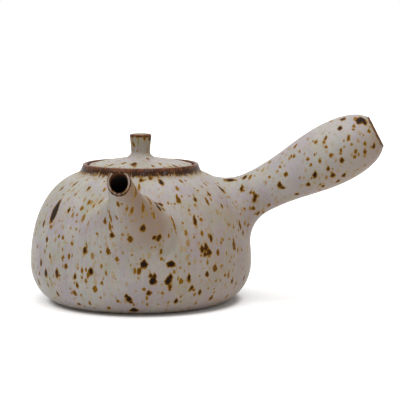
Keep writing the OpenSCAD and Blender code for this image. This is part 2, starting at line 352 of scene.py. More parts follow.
@dataclass
class Skin:
    """Rings of points that a mesh is skinned over, and the finish of the band up to each ring."""

    rings: list[Array] = field(default_factory=list)
    finishes: list[Finish] = field(default_factory=list)

    def add(self, rings: list[Array], finish: Finish) -> None:
        """Add rings of one finish."""
        self.rings += list(rings)
        self.finishes += [finish] * len(rings)

    def wobble(self) -> None:
        """Move the rings off true round, all with the same wobble, so that joined pieces still meet."""
        self.rings = [HandWobble().moved(ring) for ring in self.rings]

    def piece(self, name: str, closed: bool) -> Piece:
        """Make the mesh object, smooth and facing outward.

        Args:
            name: Name of the piece.
            closed: Whether the last ring joins the first.

        Returns:
            The new object, in the scene.
        """
        starts = np.cumsum([0] + [len(r) for r in self.rings])
        faces: list[list[int]] = []
        finishes: list[int] = []
        for i in range(len(self.rings) if closed else len(self.rings) - 1):
            k = (i + 1) % len(self.rings)
            a, b = len(self.rings[i]), len(self.rings[k])
            for j in range(max(a, b)):
                n = j + 1
                quad = [starts[i] + j % a, starts[i] + n % a, starts[k] + n % b, starts[k] + j % b]
                faces.append(list(dict.fromkeys(int(v) for v in quad)))
                finishes.append(int(self.finishes[k]))
        mesh = bpy.data.meshes.new(name)
        mesh.from_pydata((np.concatenate(self.rings) * MM).tolist(), [], faces)
        mesh.polygons.foreach_set("material_index", finishes)
        shaped = bmesh.new()
        shaped.from_mesh(mesh)
        bmesh.ops.recalc_face_normals(shaped, faces=shaped.faces)
        shaped.to_mesh(mesh)
        shaped.free()
        mesh.shade_smooth()
        return new_object(name, mesh)


def cut_hole(piece: Piece, start: Array, end: Array, radius: float, sides: int = 48) -> None:
    """Cut a round hole through a piece, with bare clay on its wall, and keep its sharp edges sharp.

    Args:
        piece: The mesh object to cut.
        start: One end of the drill's path, in mm.
        end: The other end, in mm.
        radius: The hole's radius in mm.
        sides: Sides of the drill.
    """
    way = Vector(end - start)
    middle = Matrix.Translation(Vector(mix(start, end, 0.5)) * MM)
    at = middle @ way.to_track_quat("Z", "Y").to_matrix().to_4x4()
    shaped = bmesh.new()
    bmesh.ops.create_cone(shaped, cap_ends=True, segments=sides, radius1=radius * MM, radius2=radius * MM,
                          depth=way.length * MM, matrix=at)
    for face in shaped.faces:
        face.material_index = Finish.IRON
    drill_mesh = bpy.data.meshes.new("drill")
    shaped.to_mesh(drill_mesh)
    shaped.free()
    drill = new_object("drill", drill_mesh)
    cut = piece.modifiers.new("hole", "BOOLEAN")
    cut.operation = "DIFFERENCE"
    cut.solver = "EXACT"
    cut.object = drill
    whole = piece.data
    piece.data = bpy.data.meshes.new_from_object(piece.evaluated_get(bpy.context.evaluated_depsgraph_get()))
    piece.modifiers.clear()
    bpy.data.meshes.remove(whole)
    bpy.data.objects.remove(drill)
    bpy.data.meshes.remove(drill_mesh)
    piece.data.set_sharp_from_angle(angle=math.radians(SHARP_EDGE))


@dataclass(frozen=True)
class SpeckSize:
    """One size of speck in the glaze, in mm."""

    # Distance between neighbouring places for a speck
    spacing: float
    # How far under or over the surface a place may lie and still show
    depth: float
    # Half width of the smallest and the largest
    least: float
    most: float
    # Share of its length that the longest speck has more than its width
    stretch: float
    # Share of the places that hold a speck
    share: float
    # Greatest depth inside its edge that counts, which sets how dark the faintest and the darkest turn
    faintest: float
    darkest: float


class Ground(NamedTuple):
    """What the glaze reads at a point: place in mm, normal, way downhill, cloud hues and noises."""

    place: Node
    normal: Socket
    down: Node
    hue: Node
    streaks: Node
    rags: Node
    waves: Node


class Layer(NamedTuple):
    """A colour over those below it, and the share of it that shows."""

    share: Node | Socket
    colour: Colour | Node


@dataclass(frozen=True)
class SpeckledGlaze:
    """Satin feldspar glaze over iron-bearing stoneware, glazed by dipping and reduction-fired.

    The eye sees a milky grey skin with faint lilac and moss clouds and downhill streaks, golden specks,
    dark iron spots with amber rims, and brown clay where the glaze runs off an edge.
    """

    name: str = "speckled_stoneware_glaze"
    cream: str = "#b9b4ae"
    lilac: str = "#b2a9ac"
    moss: str = "#b0ada1"
    # Pale glaze is painted light, laid on the handle's grip where it stands nearer the lamp
    pale: str = "#c8c2be"
    # Warm dark brown is painted shade on faces turned from the lamp, and a faint warm tone all round the
    # spout
    toast_and_shade: str = "#9a8172"
    olive: str = "#9a9070"
    ochre: str = "#a8842c"
    amber: str = "#875c0a"
    brown: str = "#4f2f07"
    iron: str = "#1d0d03"
    # Grey pools on scorched clay are partly glaze, partly painted highlight for bluish glints
    milk_and_glint: str = "#7a797c"
    rust: str = "#7d503a"
    umber: str = "#40291a"
    roughness: float = 0.44
    spot_roughness: float = 0.3
    ior: float = 1.5
    specular: float = 0.07
    # Way that faces turn to get painted shade in warm dark brown, right and down, away from the lamp, and how
    # squarely a place faces it to get it
    shade_way: tuple[float, float, float] = (0.85, -0.25, -0.3)
    toast_and_shade_share: Band = Band(-0.1, 1.0, most=0.5)
    # Colour clouds, and the parts of them that turn lilac, moss and faintly golden
    clouds: Noise = Noise(14, detail=3)
    lilac_part: Band = Band(0.42, 0.62)
    moss_part: Band = Band(0.46, 0.66)
    golden_part: Band = Band(0.52, 0.72, most=0.12)
    # Width and length of a downhill streak, and how many finer layers break it up
    streak_width: float = 1.1
    streak_length: float = 15
    streak_detail: float = 3
    # How the streaks darken and lighten the glaze, how far they tint red, green and blue, and the part of
    # them that trails gold
    streak_shade: Band = Band(0.3, 0.7, most=1.06, least=0.93)
    streak_tint: tuple[float, float, float] = (0.14, 0.12, 0.26)
    trail_part: Band = Band(0.58, 0.78, most=0.3)
    # Fine crystals in the glaze, and how far they tint red, green and blue
    crystals: Noise = Noise(0.8, detail=1)
    crystal_tint: tuple[float, float, float] = (0.44, 0.4, 0.6)
    # Parts of the streaks that are olive and that run brown where the glaze is thin
    olive_part: Band = Band(0.36, 0.54, least=0.15)
    run_part: Band = Band(0.54, 0.68, most=0.75)
    # Ripple in a spot's outline, how far it moves a speck and a spot's edge, and how much a spot grows, in mm
    rags: Noise = Noise(1.4, detail=2.5)
    ragged_move: float = 1.0
    ragged_weight: float = 1.5
    ragged_grow: float = 0.06
    # Depths inside a spot's edge, in mm, over which it turns to a golden stain, amber, brown and iron
    stain_part: Band = Band(-0.5, 0.0, most=0.6)
    amber_part: Band = Band(-0.12, 0.1)
    brown_part: Band = Band(0.12, 0.5)
    core_part: Band = Band(0.35, 0.8)
    # Fine unevenness of the glaze and its depth in mm, and weight of the noises in a bare edge's border
    waves: Noise = Noise(2.2, detail=2)
    wave_depth: float = 0.05
    border_weight: float = 0.9
    # Parts of a worn edge's field that turn to an amber fringe, bare clay and, as it falls, scorched clay
    fringe_part: Band = Band(-0.38, 0.08, most=0.8)
    bare_part: Band = Band(0.0, 0.22)
    scorch_part: Band = Band(0.9, 0.48)
    # Part of the unevenness that holds grey pools on scorched clay, partly glaze and partly painted highlight
    # for bluish glints
    milk_and_glint_part: Band = Band(0.58, 0.7, most=0.4)
    specks: tuple[SpeckSize, ...] = (
        SpeckSize(spacing=5.6, depth=1.5, least=0.3, most=0.85, stretch=0.55, share=0.46,
                  faintest=-0.2, darkest=0.34),
        SpeckSize(spacing=3.1, depth=0.9, least=0.1, most=0.62, stretch=0.65, share=0.9,
                  faintest=-0.44, darkest=0.26),
    )

    def ground(self, tree: Tree) -> Ground:
        """Find what every layer reads at a point.

        Args:
            tree: The material's node tree.

        Returns:
            The nodes that give it.
        """
        add = partial(add_node, tree)
        where = add("TexCoord").outputs
        normal = where["Normal"]
        place = add("VectorMath", {0: where["Object"], "Scale": 1 / MM}, operation="SCALE")
        tilt = add("SeparateXYZ", {0: normal}).outputs["Z"]
        lift = add("VectorMath", {0: normal, "Scale": tilt}, operation="SCALE")
        fall = add("VectorMath", {0: lift, 1: (0, 0, -1)}, operation="ADD")
        down = add("VectorMath", {0: fall}, operation="NORMALIZE")
        clouds = add("TexNoise", self.clouds.at(place))
        hue = add("SeparateColor", {"Color": clouds.outputs["Color"]})
        flow = add("Attribute", attribute_name="flow").outputs["Vector"]
        across, along = 1 / self.streak_width, 1 / self.streak_length
        run = add("VectorMath", {0: flow, 1: (across, across, along)}, operation="MULTIPLY")
        streaks = add("TexNoise", {"Vector": run, "Scale": 1.0, "Detail": self.streak_detail})
        rags, waves = (add("TexNoise", noise.at(place)) for noise in (self.rags, self.waves))
        return Ground(place, normal, down, hue, streaks, rags, waves)

    def milky_skin(self, tree: Tree, at: Ground) -> Node:
        """Colour the milky base: slow clouds, fine downhill streaks and crystals.

        Args:
            tree: The material's node tree.
            at: What the glaze reads at a point.

        Returns:
            The node that gives the colour.
        """
        add = partial(add_node, tree)
        skin: Colour | Node = hex_linear(self.cream)
        tones = ((self.lilac_part, self.lilac), (self.moss_part, self.moss))
        for hue, (part, colour) in zip(at.hue.outputs, tones):
            share = add("MapRange", part.over(hue), **SOFT)
            skin = add("Mix", {0: share, MIX_A: skin, MIX_B: hex_linear(colour)}, **COLOURS)
        shade = add("MapRange", self.streak_shade.over(at.streaks))
        skin = add("VectorMath", {0: skin, "Scale": shade}, operation="SCALE")
        crystals = add("TexNoise", self.crystals.at(at.place))
        for noise, tint in ((at.streaks, self.streak_tint), (crystals, self.crystal_tint)):
            rest = tuple(1 - t * NOISE_MEAN for t in tint)
            tinted = add("VectorMath", {0: noise.outputs["Color"], 1: tint, 2: rest},
                         operation="MULTIPLY_ADD")
            skin = add("VectorMath", {0: skin, 1: tinted}, operation="MULTIPLY")
        return skin

    def fired_layers(self, tree: Tree, at: Ground) -> list[Layer]:
        """Colour the firing's layers with painted light and shade: pale glaze painted as light on the grip,
        warm dark brown painted as shade, thin glaze and its golden bloom.

        Args:
            tree: The material's node tree.
            at: What the glaze reads at a point.

        Returns:
            The layers, lowest first.
        """
        add = partial(add_node, tree)
        # Shares of pale glaze painted as light on the grip, of warm dark brown painted as shade with a faint
        # warm tone on the spout, and of thin glaze
        thick, toast_and_painted_shade, thin = (add("Attribute", attribute_name=name).outputs["Fac"]
                               for name in ("thick", "toast_and_painted_shade", "thin"))
        # Faces turned right and down, away from the lamp, get painted shade
        facing = add("VectorMath", {0: at.normal, 1: self.shade_way}, operation="DOT_PRODUCT")
        shade_and_toast_mask = add("MapRange", self.toast_and_shade_share.over(facing), **SOFT)
        shade_and_toast_mask = add("Math", {0: shade_and_toast_mask, 1: toast_and_painted_shade}, operation="MAXIMUM")
        runny = add("MapRange", self.olive_part.over(at.streaks))
        olive = add("Math", {0: thin, 1: runny}, operation="MULTIPLY")
        runs = add("MapRange", self.run_part.over(at.streaks), **SOFT)
        runs = add("Math", {0: thin, 1: runs}, operation="MULTIPLY")
        golden = add("MapRange", self.golden_part.over(at.hue.outputs[2]), **SOFT)
        trail = add("MapRange", self.trail_part.over(at.streaks), **SOFT)
        shares = (thick, shade_and_toast_mask, olive, runs, golden, trail)
        colours = (self.pale, self.toast_and_shade, self.olive, self.brown, self.ochre, self.ochre)
        return [Layer(share, hex_linear(colour)) for share, colour in zip(shares, colours)]

    def speck_field(self, tree: Tree, at: Ground, place: Node, size: SpeckSize) -> Node:
        """Field of one size of speck: how far inside its edge a point lies, in mm, and less than 0 outside.

        Args:
            tree: The material's node tree.
            at: What the glaze reads at a point.
            place: The point in mm, moved a little so that outlines are ragged.
            size: The speck's sizes.

        Returns:
            The node that gives the field.
        """
        add = partial(add_node, tree)
        cells = add("TexVoronoi", {"Vector": place, "Scale": 1 / size.spacing}).outputs
        chance = add("SeparateColor", {"Color": cells["Color"]}).outputs
        offset = add("VectorMath", {0: place, 1: cells["Position"]}, operation="SUBTRACT")
        depth = add("VectorMath", {0: offset, 1: at.normal}, operation="DOT_PRODUCT")
        sunk = add("VectorMath", {0: at.normal, "Scale": depth}, operation="SCALE")
        flat = add("VectorMath", {0: offset, 1: sunk}, operation="SUBTRACT")
        along = add("VectorMath", {0: flat, 1: at.down}, operation="DOT_PRODUCT")
        stretch = add("Math", {0: chance[1], 1: size.stretch}, operation="MULTIPLY")
        shorten = add("Math", {0: along, 1: stretch}, operation="MULTIPLY")
        back = add("VectorMath", {0: at.down, "Scale": shorten}, operation="SCALE")
        shape = add("VectorMath", {0: flat, 1: back}, operation="SUBTRACT")
        reach = add("VectorMath", {0: shape}, operation="LENGTH")
        half = add("MapRange", {"Value": chance[0], "To Min": size.least, "To Max": size.most})
        near = add("Math", {0: half, 1: reach}, operation="SUBTRACT")
        away = add("Math", {0: depth}, operation="ABSOLUTE")
        shows = add("Math", {0: size.depth, 1: away}, operation="SUBTRACT")
        empty = add("Math", {0: chance[2], 1: size.share}, operation="GREATER_THAN")
        held = add("MapRange", {"Value": chance[2], "From Max": size.share, "To Min": size.darkest,
                                "To Max": size.faintest})
        held = add("Math", {0: empty, 1: FAR_OUT, 2: held}, operation="MULTIPLY_ADD")
        both = add("Math", {0: near, 1: shows}, operation="MINIMUM")
        return add("Math", {0: both, 1: held}, operation="MINIMUM")

    def spot_layers(self, tree: Tree, at: Ground) -> list[Layer]:
        """Colour the spots: a golden stain, an amber rim, brown and a dark iron core, with ragged outlines.

        Args:
            tree: The material's node tree.
            at: What the glaze reads at a point.

        Returns:
            The layers, lowest first, the core last.
        """
        add = partial(add_node, tree)
        step, weight = self.ragged_move, self.ragged_weight
        move = add("VectorMath", {0: at.rags.outputs["Color"], 1: (step,) * 3, 2: (-step * NOISE_MEAN,) * 3},
                   operation="MULTIPLY_ADD")
        moved = add("VectorMath", {0: at.place, 1: move}, operation="ADD")
        grow = self.ragged_grow - weight * NOISE_MEAN
        frayed = add("Math", {0: at.rags, 1: weight, 2: grow}, operation="MULTIPLY_ADD")
        painted, melt = (add("Attribute", attribute_name=name).outputs["Fac"] for name in ("spot", "melt"))
        large = add("Math", {0: painted, 1: frayed}, operation="ADD")
        large = add("Math", {0: large, 1: melt}, operation="MINIMUM")
        spot = large
        for size in self.specks:
            speck = self.speck_field(tree, at, moved, size)
            spot = add("Math", {0: spot, 1: speck}, operation="MAXIMUM")
        depths = ((spot, self.stain_part, self.ochre), (spot, self.amber_part, self.amber),
                  (spot, self.brown_part, self.brown), (large, self.core_part, self.iron))
        return [Layer(add("MapRange", part.over(depth), **SOFT), hex_linear(colour))
                for depth, part, colour in depths]

    def worn_layers(self, tree: Tree, at: Ground) -> list[Layer]:
        """Colour worn edges, where rusty clay shows that is scorched dark towards the glaze, with milky grey
        pools there that are partly glaze and partly painted highlight.

        Args:
            tree: The material's node tree.
            at: What the glaze reads at a point.

        Returns:
            The layers, lowest first, the bare clay last.
        """
        add = partial(add_node, tree)
        worn = add("Attribute", attribute_name="worn").outputs["Fac"]
        uneven = (at.waves, at.rags, at.streaks)
        wavy = add("Math", {0: uneven[0], 1: uneven[1]}, operation="ADD")
        wavy = add("Math", {0: wavy, 1: uneven[2]}, operation="ADD")
        weight = self.border_weight
        border = add("Math", {0: wavy, 1: weight, 2: -len(uneven) * NOISE_MEAN * weight},
                     operation="MULTIPLY_ADD")
        edge = add("Math", {0: worn, 1: border}, operation="ADD")
        inward = add("Math", {0: worn, 1: border}, operation="SUBTRACT")
        fringe = add("MapRange", self.fringe_part.over(edge), **SOFT)
        bare = add("MapRange", self.bare_part.over(edge), **SOFT)
        scorch = add("MapRange", self.scorch_part.over(inward))
        clay = add("Mix", {0: scorch, MIX_A: hex_linear(self.rust), MIX_B: hex_linear(self.umber)}, **COLOURS)
        # Grey pools on the scorched clay, partly painted highlight
        pool_and_glint = add("MapRange", self.milk_and_glint_part.over(at.waves), **SOFT)
        pool_and_glint = add("Math", {0: pool_and_glint, 1: scorch}, operation="MULTIPLY")
        clay = add("Mix", {0: pool_and_glint, MIX_A: clay, MIX_B: hex_linear(self.milk_and_glint)}, **COLOURS)
        return [Layer(fringe, hex_linear(self.amber)), Layer(bare, clay)]

    def build(self) -> Material:
        """Make the node material.

        Returns:
            The glaze.
        """
        material, tree = new_material(self.name)
        add = partial(add_node, tree)
        at = self.ground(tree)
        skin = self.milky_skin(tree, at)
        spots, worn = self.spot_layers(tree, at), self.worn_layers(tree, at)
        for share, colour in self.fired_layers(tree, at) + spots + worn:
            skin = add("Mix", {0: share, MIX_A: skin, MIX_B: colour}, **COLOURS)
        # Iron cores and bare edges melt glossier than the satin skin, which is softly uneven
        glossy = add("Math", {0: spots[-1].share, 1: worn[-1].share}, operation="MAXIMUM")
        rough = add("MapRange", {"Value": glossy, "To Min": self.roughness, "To Max": self.spot_roughness})
        bump = add("Bump", {"Height": at.waves, "Strength": 1.0, "Distance": self.wave_depth * MM})
        shader = add("BsdfPrincipled", {"Base Color": skin, "Roughness": rough, "IOR": self.ior,
                                        "Specular IOR Level": self.specular, "Normal": bump})
        add("OutputMaterial", {"Surface": shader})
        return material


@dataclass(frozen=True)
class IronClay:
    """Dark brown stoneware under a thin iron wash, as left inside a pot and on its foot.

    The eye sees a dull, grainy red-brown with darker flecks, and a foxy orange where an edge is thin.
    """

    name: str = "iron_stoneware_clay"
    brown: str = "#553829"
    dark: str = "#37241a"
    fox: str = "#6f3d18"
    roughness: float = 0.5
    ior: float = 1.5
    specular: float = 0.3
    # Patches and grains of the clay, and the grains' depth in mm
    patches: Noise = Noise(7, detail=4)
    grains: Noise = Noise(0.7, detail=2)
    grain_depth: float = 0.06
    # Part of both noises that turns from dark to brown, and part of a worn edge's field that turns foxy
    brown_part: Band = Band(0.75, 1.25)
    fox_part: Band = Band(-0.8, 0.4)

    def build(self) -> Material:
        """Make the node material.

        Returns:
            The clay.
        """
        material, tree = new_material(self.name)
        add = partial(add_node, tree)
        where = add("TexCoord").outputs["Object"]
        place = add("VectorMath", {0: where, "Scale": 1 / MM}, operation="SCALE")
        patches, grains = (add("TexNoise", noise.at(place)) for noise in (self.patches, self.grains))
        both = add("Math", {0: patches, 1: grains}, operation="ADD")
        worn = add("Attribute", attribute_name="worn").outputs["Fac"]
        skin: Colour | Node = hex_linear(self.dark)
        for value, part, colour in ((both, self.brown_part, self.brown), (worn, self.fox_part, self.fox)):
            share = add("MapRange", part.over(value))
            skin = add("Mix", {0: share, MIX_A: skin, MIX_B: hex_linear(colour)}, **COLOURS)
        bump = add("Bump", {"Height": grains, "Strength": 1.0, "Distance": self.grain_depth * MM})
        shader = add("BsdfPrincipled", {"Base Color": skin, "Roughness": self.roughness, "IOR": self.ior,
                                        "Specular IOR Level": self.specular, "Normal": bump})
        add("OutputMaterial", {"Surface": shader})
        return material


@dataclass(frozen=True)
class PhotoCamera:
    """The photograph's viewpoint: where it stands, where it looks, and its focal length in pixels."""

    # Its distance from the turning axis and its height in mm, and its turns in degrees
    distance: float = 760
    azimuth: float = 6.5
    height: float = 142.5
    pitch: float = 6.96
    yaw: float = 2.23
    focal_px: float = 1530
    # Width of the sensor in mm, which the lens is given for
    sensor: float = 36
    # Nearest and farthest that it sees, in metres
    nearest: float = 0.05
    farthest: float = 50

    def place(self) -> Array:
        """Where the camera stands, in mm."""
        a = math.radians(self.azimuth)
        return np.array([self.distance * math.sin(a), -self.distance * math.cos(a), self.height])

    def axes(self) -> Array:
        """Work out the picture's directions.

        Returns:
            Right, up and forward of the picture, as rows.
        """
        a, y, p = (math.radians(v) for v in (self.azimuth, self.yaw, self.pitch))
        level = np.array([-math.sin(a - y), math.cos(a - y), 0])
        right = np.array([math.cos(a - y), math.sin(a - y), 0])
        forward = level * math.cos(p) - np.array([0, 0, math.sin(p)])
        return np.array([right, np.cross(right, forward), forward])

    def ray(self, x: float, y: float) -> Array:
        """Way from the camera through a pixel of the photograph."""
        middle = IMAGE_PX / 2
        return unit(np.array([x - middle, middle - y, self.focal_px]) @ self.axes())

    def build(self) -> Piece:
        """Make the scene's camera.

        Returns:
            The camera object.
        """
        lens = bpy.data.cameras.new("photo_camera")
        lens.sensor_width = self.sensor
        lens.lens = self.focal_px / IMAGE_PX * self.sensor
        lens.clip_start, lens.clip_end = self.nearest, self.farthest
        camera = new_object("photo_camera", lens)
        right, up, forward = self.axes()
        turn = Matrix((right, up, -forward)).transposed().to_4x4()
        camera.matrix_world = Matrix.Translation(Vector(self.place() * MM)) @ turn
        bpy.context.scene.camera = camera
        return camera


@dataclass(frozen=True)
class GlazeSpot:
    """A spot on the fired surface: its middle, its ways off and down the surface, half sizes and melt."""

    at: Array
    off: Array
    down: Array
    half_width: float
    half_length: float
    melt: Melt

    # How far off the surface a spot still colours it
    REACH: ClassVar[float] = 3.0
    # How much a spot narrows uphill, and how many half lengths up that goes on
    TAIL: ClassVar[float] = 0.6
    TAIL_END: ClassVar[float] = 2

    def field(self, points: Array) -> Array:
        """Find how far inside the spot's edge points lie.

        Args:
            points: Points in mm.

        Returns:
            Depths in mm, less than 0 outside and never under FAR_OUT.
        """
        offset = points - self.at
        along = offset @ self.down / self.half_length
        across = offset @ np.cross(self.off, self.down) / self.half_width
        across *= 1 + self.TAIL * np.clip(-along, 0, self.TAIL_END)
        inside = min(self.half_width, self.half_length) * (1 - np.hypot(across, along))
        return np.where(np.abs(offset @ self.off) < self.REACH, np.maximum(inside, FAR_OUT), FAR_OUT)


class SeenSpot(NamedTuple):
    """A spot as read from the photograph: its pixel across and down, and its width and length in mm."""

    x: float
    y: float
    width: float
    length: float


@dataclass
class SpotMap:
    """The glaze's large spots: those that the photograph shows, and others on the sides that it doesn't."""

    camera: PhotoCamera
    # Unseen spots: surface in square mm for each, range of their widths in mm, and range of their lengths
    # as multiples of the width
    area_each: float = 130
    widths: tuple[float, float] = (1.4, 3.6)
    lengths: tuple[float, float] = (1.0, 2.2)
    # Width from which an unseen spot has a dark core
    dark_width: float = 2.6
    seed: int = 7
    found: list[GlazeSpot] = field(default_factory=list)
    unseen: dict[str, list[GlazeSpot]] = field(default_factory=dict)

    # The spots that were read from the photograph, each as the values of a SeenSpot
    SEEN: ClassVar[dict[Melt, list[tuple[float, float, float, float]]]] = {
        Melt.IRON: [
            (55, 211, 5, 13), (46, 273, 3, 4.5), (91, 271, 2.8, 3.8), (144, 264, 3.8, 4.4),
            (129, 299, 3.2, 3.6), (126.5, 296, 2, 2.6), (131, 302, 2.2, 2.2), (134, 310, 4.6, 4),
            (141, 180, 2.2, 4.4), (150, 178, 2, 4), (161, 182, 2.4, 6), (221, 189, 2.4, 5.6),
            (230, 180, 6, 2.5), (158, 206, 3.4, 6), (155.5, 202.5, 2.6, 3.4), (160.5, 204.5, 3.4, 3.2),
            (162.5, 208.5, 2, 3), (171, 264, 4.8, 3.2), (153, 281, 4, 3.8), (150.5, 275.5, 1.9, 2.8),
            (154.7, 276, 2, 3), (168, 281, 3.6, 4.2), (170.5, 277, 2.4, 3.6), (170, 287, 1.9, 3.6),
            (189, 278, 2, 4.6), (176, 301, 2.2, 3.6), (358.5, 120.5, 3.2, 5), (362, 119.5, 4, 5.4),
            (364.5, 122, 2.6, 4.6), (340, 128, 2.6, 3), (315, 175, 2.6, 4.2),
        ],
        Melt.BROWN: [
            (69, 210, 1.6, 3), (75, 184, 1.6, 4), (62, 188, 1.2, 3), (89, 188, 1.4, 3.4), (44, 223, 2.4, 4),
            (47, 239, 2, 3), (41, 262, 2.4, 4), (57, 273, 2.6, 5), (75, 276, 1.6, 3), (77, 285, 1.6, 3),
            (58, 294, 2, 3), (39, 282, 2, 4), (85, 250, 2.6, 4), (86.5, 245, 1.2, 3), (112, 235, 2.6, 3.2),
            (79, 304, 2.4, 2), (143, 228, 3, 4.2), (195, 199, 1.8, 3), (209, 194, 1.8, 3),
            (241.5, 188.5, 1.8, 3.6), (195, 221, 2, 5.6), (154, 215, 1.4, 3), (154.3, 237.5, 2.2, 2.4),
            (159.5, 236.7, 2.6, 3), (157.5, 239.3, 2.4, 2), (190, 290, 1.8, 1.6), (192, 287.5, 2.2, 2.4),
            (194, 289.5, 1.6, 1.6), (202, 249, 2.6, 4), (206, 247, 2.6, 5), (209, 252, 3.4, 3.6),
            (205, 254, 2.4, 3), (211, 238, 2, 4.4), (207, 274, 2.4, 3), (200, 292, 2, 3),
            (211, 298, 2, 3.4), (149, 293, 2.8, 2.6), (232, 281, 2, 3), (244, 278, 2.6, 3),
            (240, 225, 1.6, 4.6), (243, 233, 1.6, 3), (343, 119, 3.4, 3), (374, 146, 2, 3),
            (342, 160, 2.4, 3), (328, 169, 1.6, 2.8), (333, 175, 2.6, 3.2), (344, 175, 2.4, 3),
            (279.5, 185, 2.2, 3.8), (282.7, 187.5, 2.6, 1.8), (251, 192.5, 1.3, 1.5), (253.7, 193, 1.7, 1.7),
            (255.5, 196, 1.9, 2.8), (254.2, 199.7, 2.1, 3.2), (245, 177, 2.6, 3), (134, 164, 3, 6),
            (175, 166, 2, 4), (132, 135.5, 1.6, 1.6), (138, 135.5, 2, 1.4), (145, 137.5, 1.1, 2.6),
            (149.5, 136, 1.6, 2), (323, 186, 2, 2.6), (325.7, 138, 1.4, 2.4), (308.3, 184.3, 2.2, 2.6),
            (338, 181, 2, 3), (297, 194, 2.4, 2),
        ],
        Melt.AMBER: [
            (75, 293, 2, 3), (108, 251, 2.2, 3.8), (66, 266, 2.4, 3), (130, 239, 2.6, 3.4),
            (105, 221, 1.8, 2.8), (118, 204, 1.4, 3), (139, 271, 2.2, 3), (118, 301, 1.6, 1.8),
            (178, 199, 2.2, 5), (207, 201, 1.6, 4.6), (222, 206, 1.8, 2.4), (161, 251, 1.4, 2.8),
            (218, 252, 2, 3), (234, 245, 2.6, 6), (215, 268, 3, 3.4), (365, 151.7, 1.8, 2.6),
            (286, 174.3, 2.4, 2.4), (348.5, 138.5, 1.5, 3), (253.5, 208, 1.9, 2), (258, 213, 2.2, 2.8),
            (148, 159, 1.4, 2.4), (133, 143.5, 1.2, 1.8),
        ],
        Melt.OCHRE: [
            (51, 227, 2, 2), (50, 256, 1.8, 2.4), (95, 289, 2.4, 3.4), (88, 275, 1.4, 2.8),
            (82, 270, 1.4, 3), (117, 259, 2, 2.6), (110, 216, 1.2, 5), (102, 283, 1.4, 1.8),
            (109, 308, 2, 2.4), (86, 281, 1.4, 2.4), (82, 208, 1.6, 2.4), (89, 202, 1.4, 2.2),
            (94, 206, 1.2, 3), (101, 201, 1.2, 3.4), (59, 236, 1.4, 1.8), (63, 237, 1.4, 1.8),
            (72, 243, 1.4, 2), (63, 257, 1.4, 3.4), (202, 233, 1.4, 2.8), (181, 281, 2, 2.6),
            (144, 289, 1.8, 1.8), (225, 275, 1.6, 2.2), (236, 283, 1.4, 2.4), (248, 225, 2, 2),
            (177, 188, 1.4, 2.6), (181, 181, 1.6, 3), (324, 142, 1.5, 2), (316, 142, 1.6, 2.2),
            (354, 126, 1.4, 2), (369, 131, 1.8, 2), (356, 151, 1.6, 2.2), (331, 155, 1.8, 2.2),
            (326, 147, 1.4, 1.8), (341, 150, 1.4, 2), (270, 162, 1.6, 2), (308, 159, 1.4, 1.6),
            (311, 165, 1.4, 1.6), (320, 161, 1.4, 1.6), (294, 156, 1.4, 1.8), (365, 143.5, 1.3, 1.8),
            (269, 205, 1.8, 2.2), (174, 224, 1.4, 8), (136, 191, 1.2, 5), (139, 187, 1.1, 5),
            (143, 207, 1.6, 5), (149, 200, 1.4, 5), (132, 210, 1.6, 4), (127, 208, 1.1, 3),
            (110, 226, 1.5, 4), (221, 242, 1.5, 1.7), (111, 165, 2, 4), (124, 163, 2, 4),
            (153, 166, 1.6, 3), (134, 145, 1.2, 1.6),
        ],
    }

    def read_photo(self, pieces: list[Piece]) -> None:
        """Find where the spots of the photograph lie on the pieces, along the camera's rays.

        Args:
            pieces: The glazed pieces, at rest.
        """
        shaped = bmesh.new()
        for piece in pieces:
            shaped.from_mesh(piece.data)
        tree = BVHTree.FromBMesh(shaped)
        shaped.free()
        eye = Vector(self.camera.place() * MM)
        for melt, rows in self.SEEN.items():
            for seen in (SeenSpot(*row) for row in rows):
                hit, normal, _, _ = tree.ray_cast(eye, Vector(self.camera.ray(seen.x, seen.y)))
                if hit is None:
                    LOG.info("no surface under pixel %s, %s", seen.x, seen.y)
                    continue
                at, off = np.array(hit) / MM, np.array(normal)
                self.found.append(GlazeSpot(at, off, downhill(off), seen.width / 2, seen.length / 2, melt))

    def fill_unseen(self, piece: Piece) -> None:
        """Scatter iron spots over the glaze that faces away from the camera.

        Args:
            piece: A glazed piece.
        """
        draws = np.random.default_rng(self.seed + len(self.unseen))
        found = self.unseen[piece.name] = []
        faces = [p for p in piece.data.polygons if p.material_index == Finish.GLAZE]
        areas = np.array([p.area for p in faces]) / MM**2
        for i in draws.choice(len(faces), int(areas.sum() / self.area_each), p=areas / areas.sum()):
            at, off = np.array(faces[i].center) / MM, np.array(faces[i].normal)
            width, longer = draws.uniform(*self.widths), draws.uniform(*self.lengths)
            if off @ (self.camera.place() - at) < 0:
                melt = Melt.IRON if width > self.dark_width else Melt.BROWN
                found.append(GlazeSpot(at, off, downhill(off), width / 2, width * longer / 2, melt))

    def paint(self, piece: Piece) -> None:
        """Store a piece's nearest spot at each point, and how dark it melted, for the glaze to read.

        Args:
            piece: A glazed piece.
        """
        points, _ = surface_of(piece)
        spots = self.found + self.unseen[piece.name]
        fields = np.array([s.field(points) for s in spots])
        store(piece, "spot", fields.max(axis=0))
        store(piece, "melt", np.array([s.melt.value for s in spots])[fields.argmax(axis=0)])


@dataclass(frozen=True)
class WornEdge:
    """An edge that the glaze runs off: points along it, and its bare width."""

    points: Array
    bare: float
    # How far the thin glaze beside it reaches, and its share at the edge
    reach: float
    share: float = 1


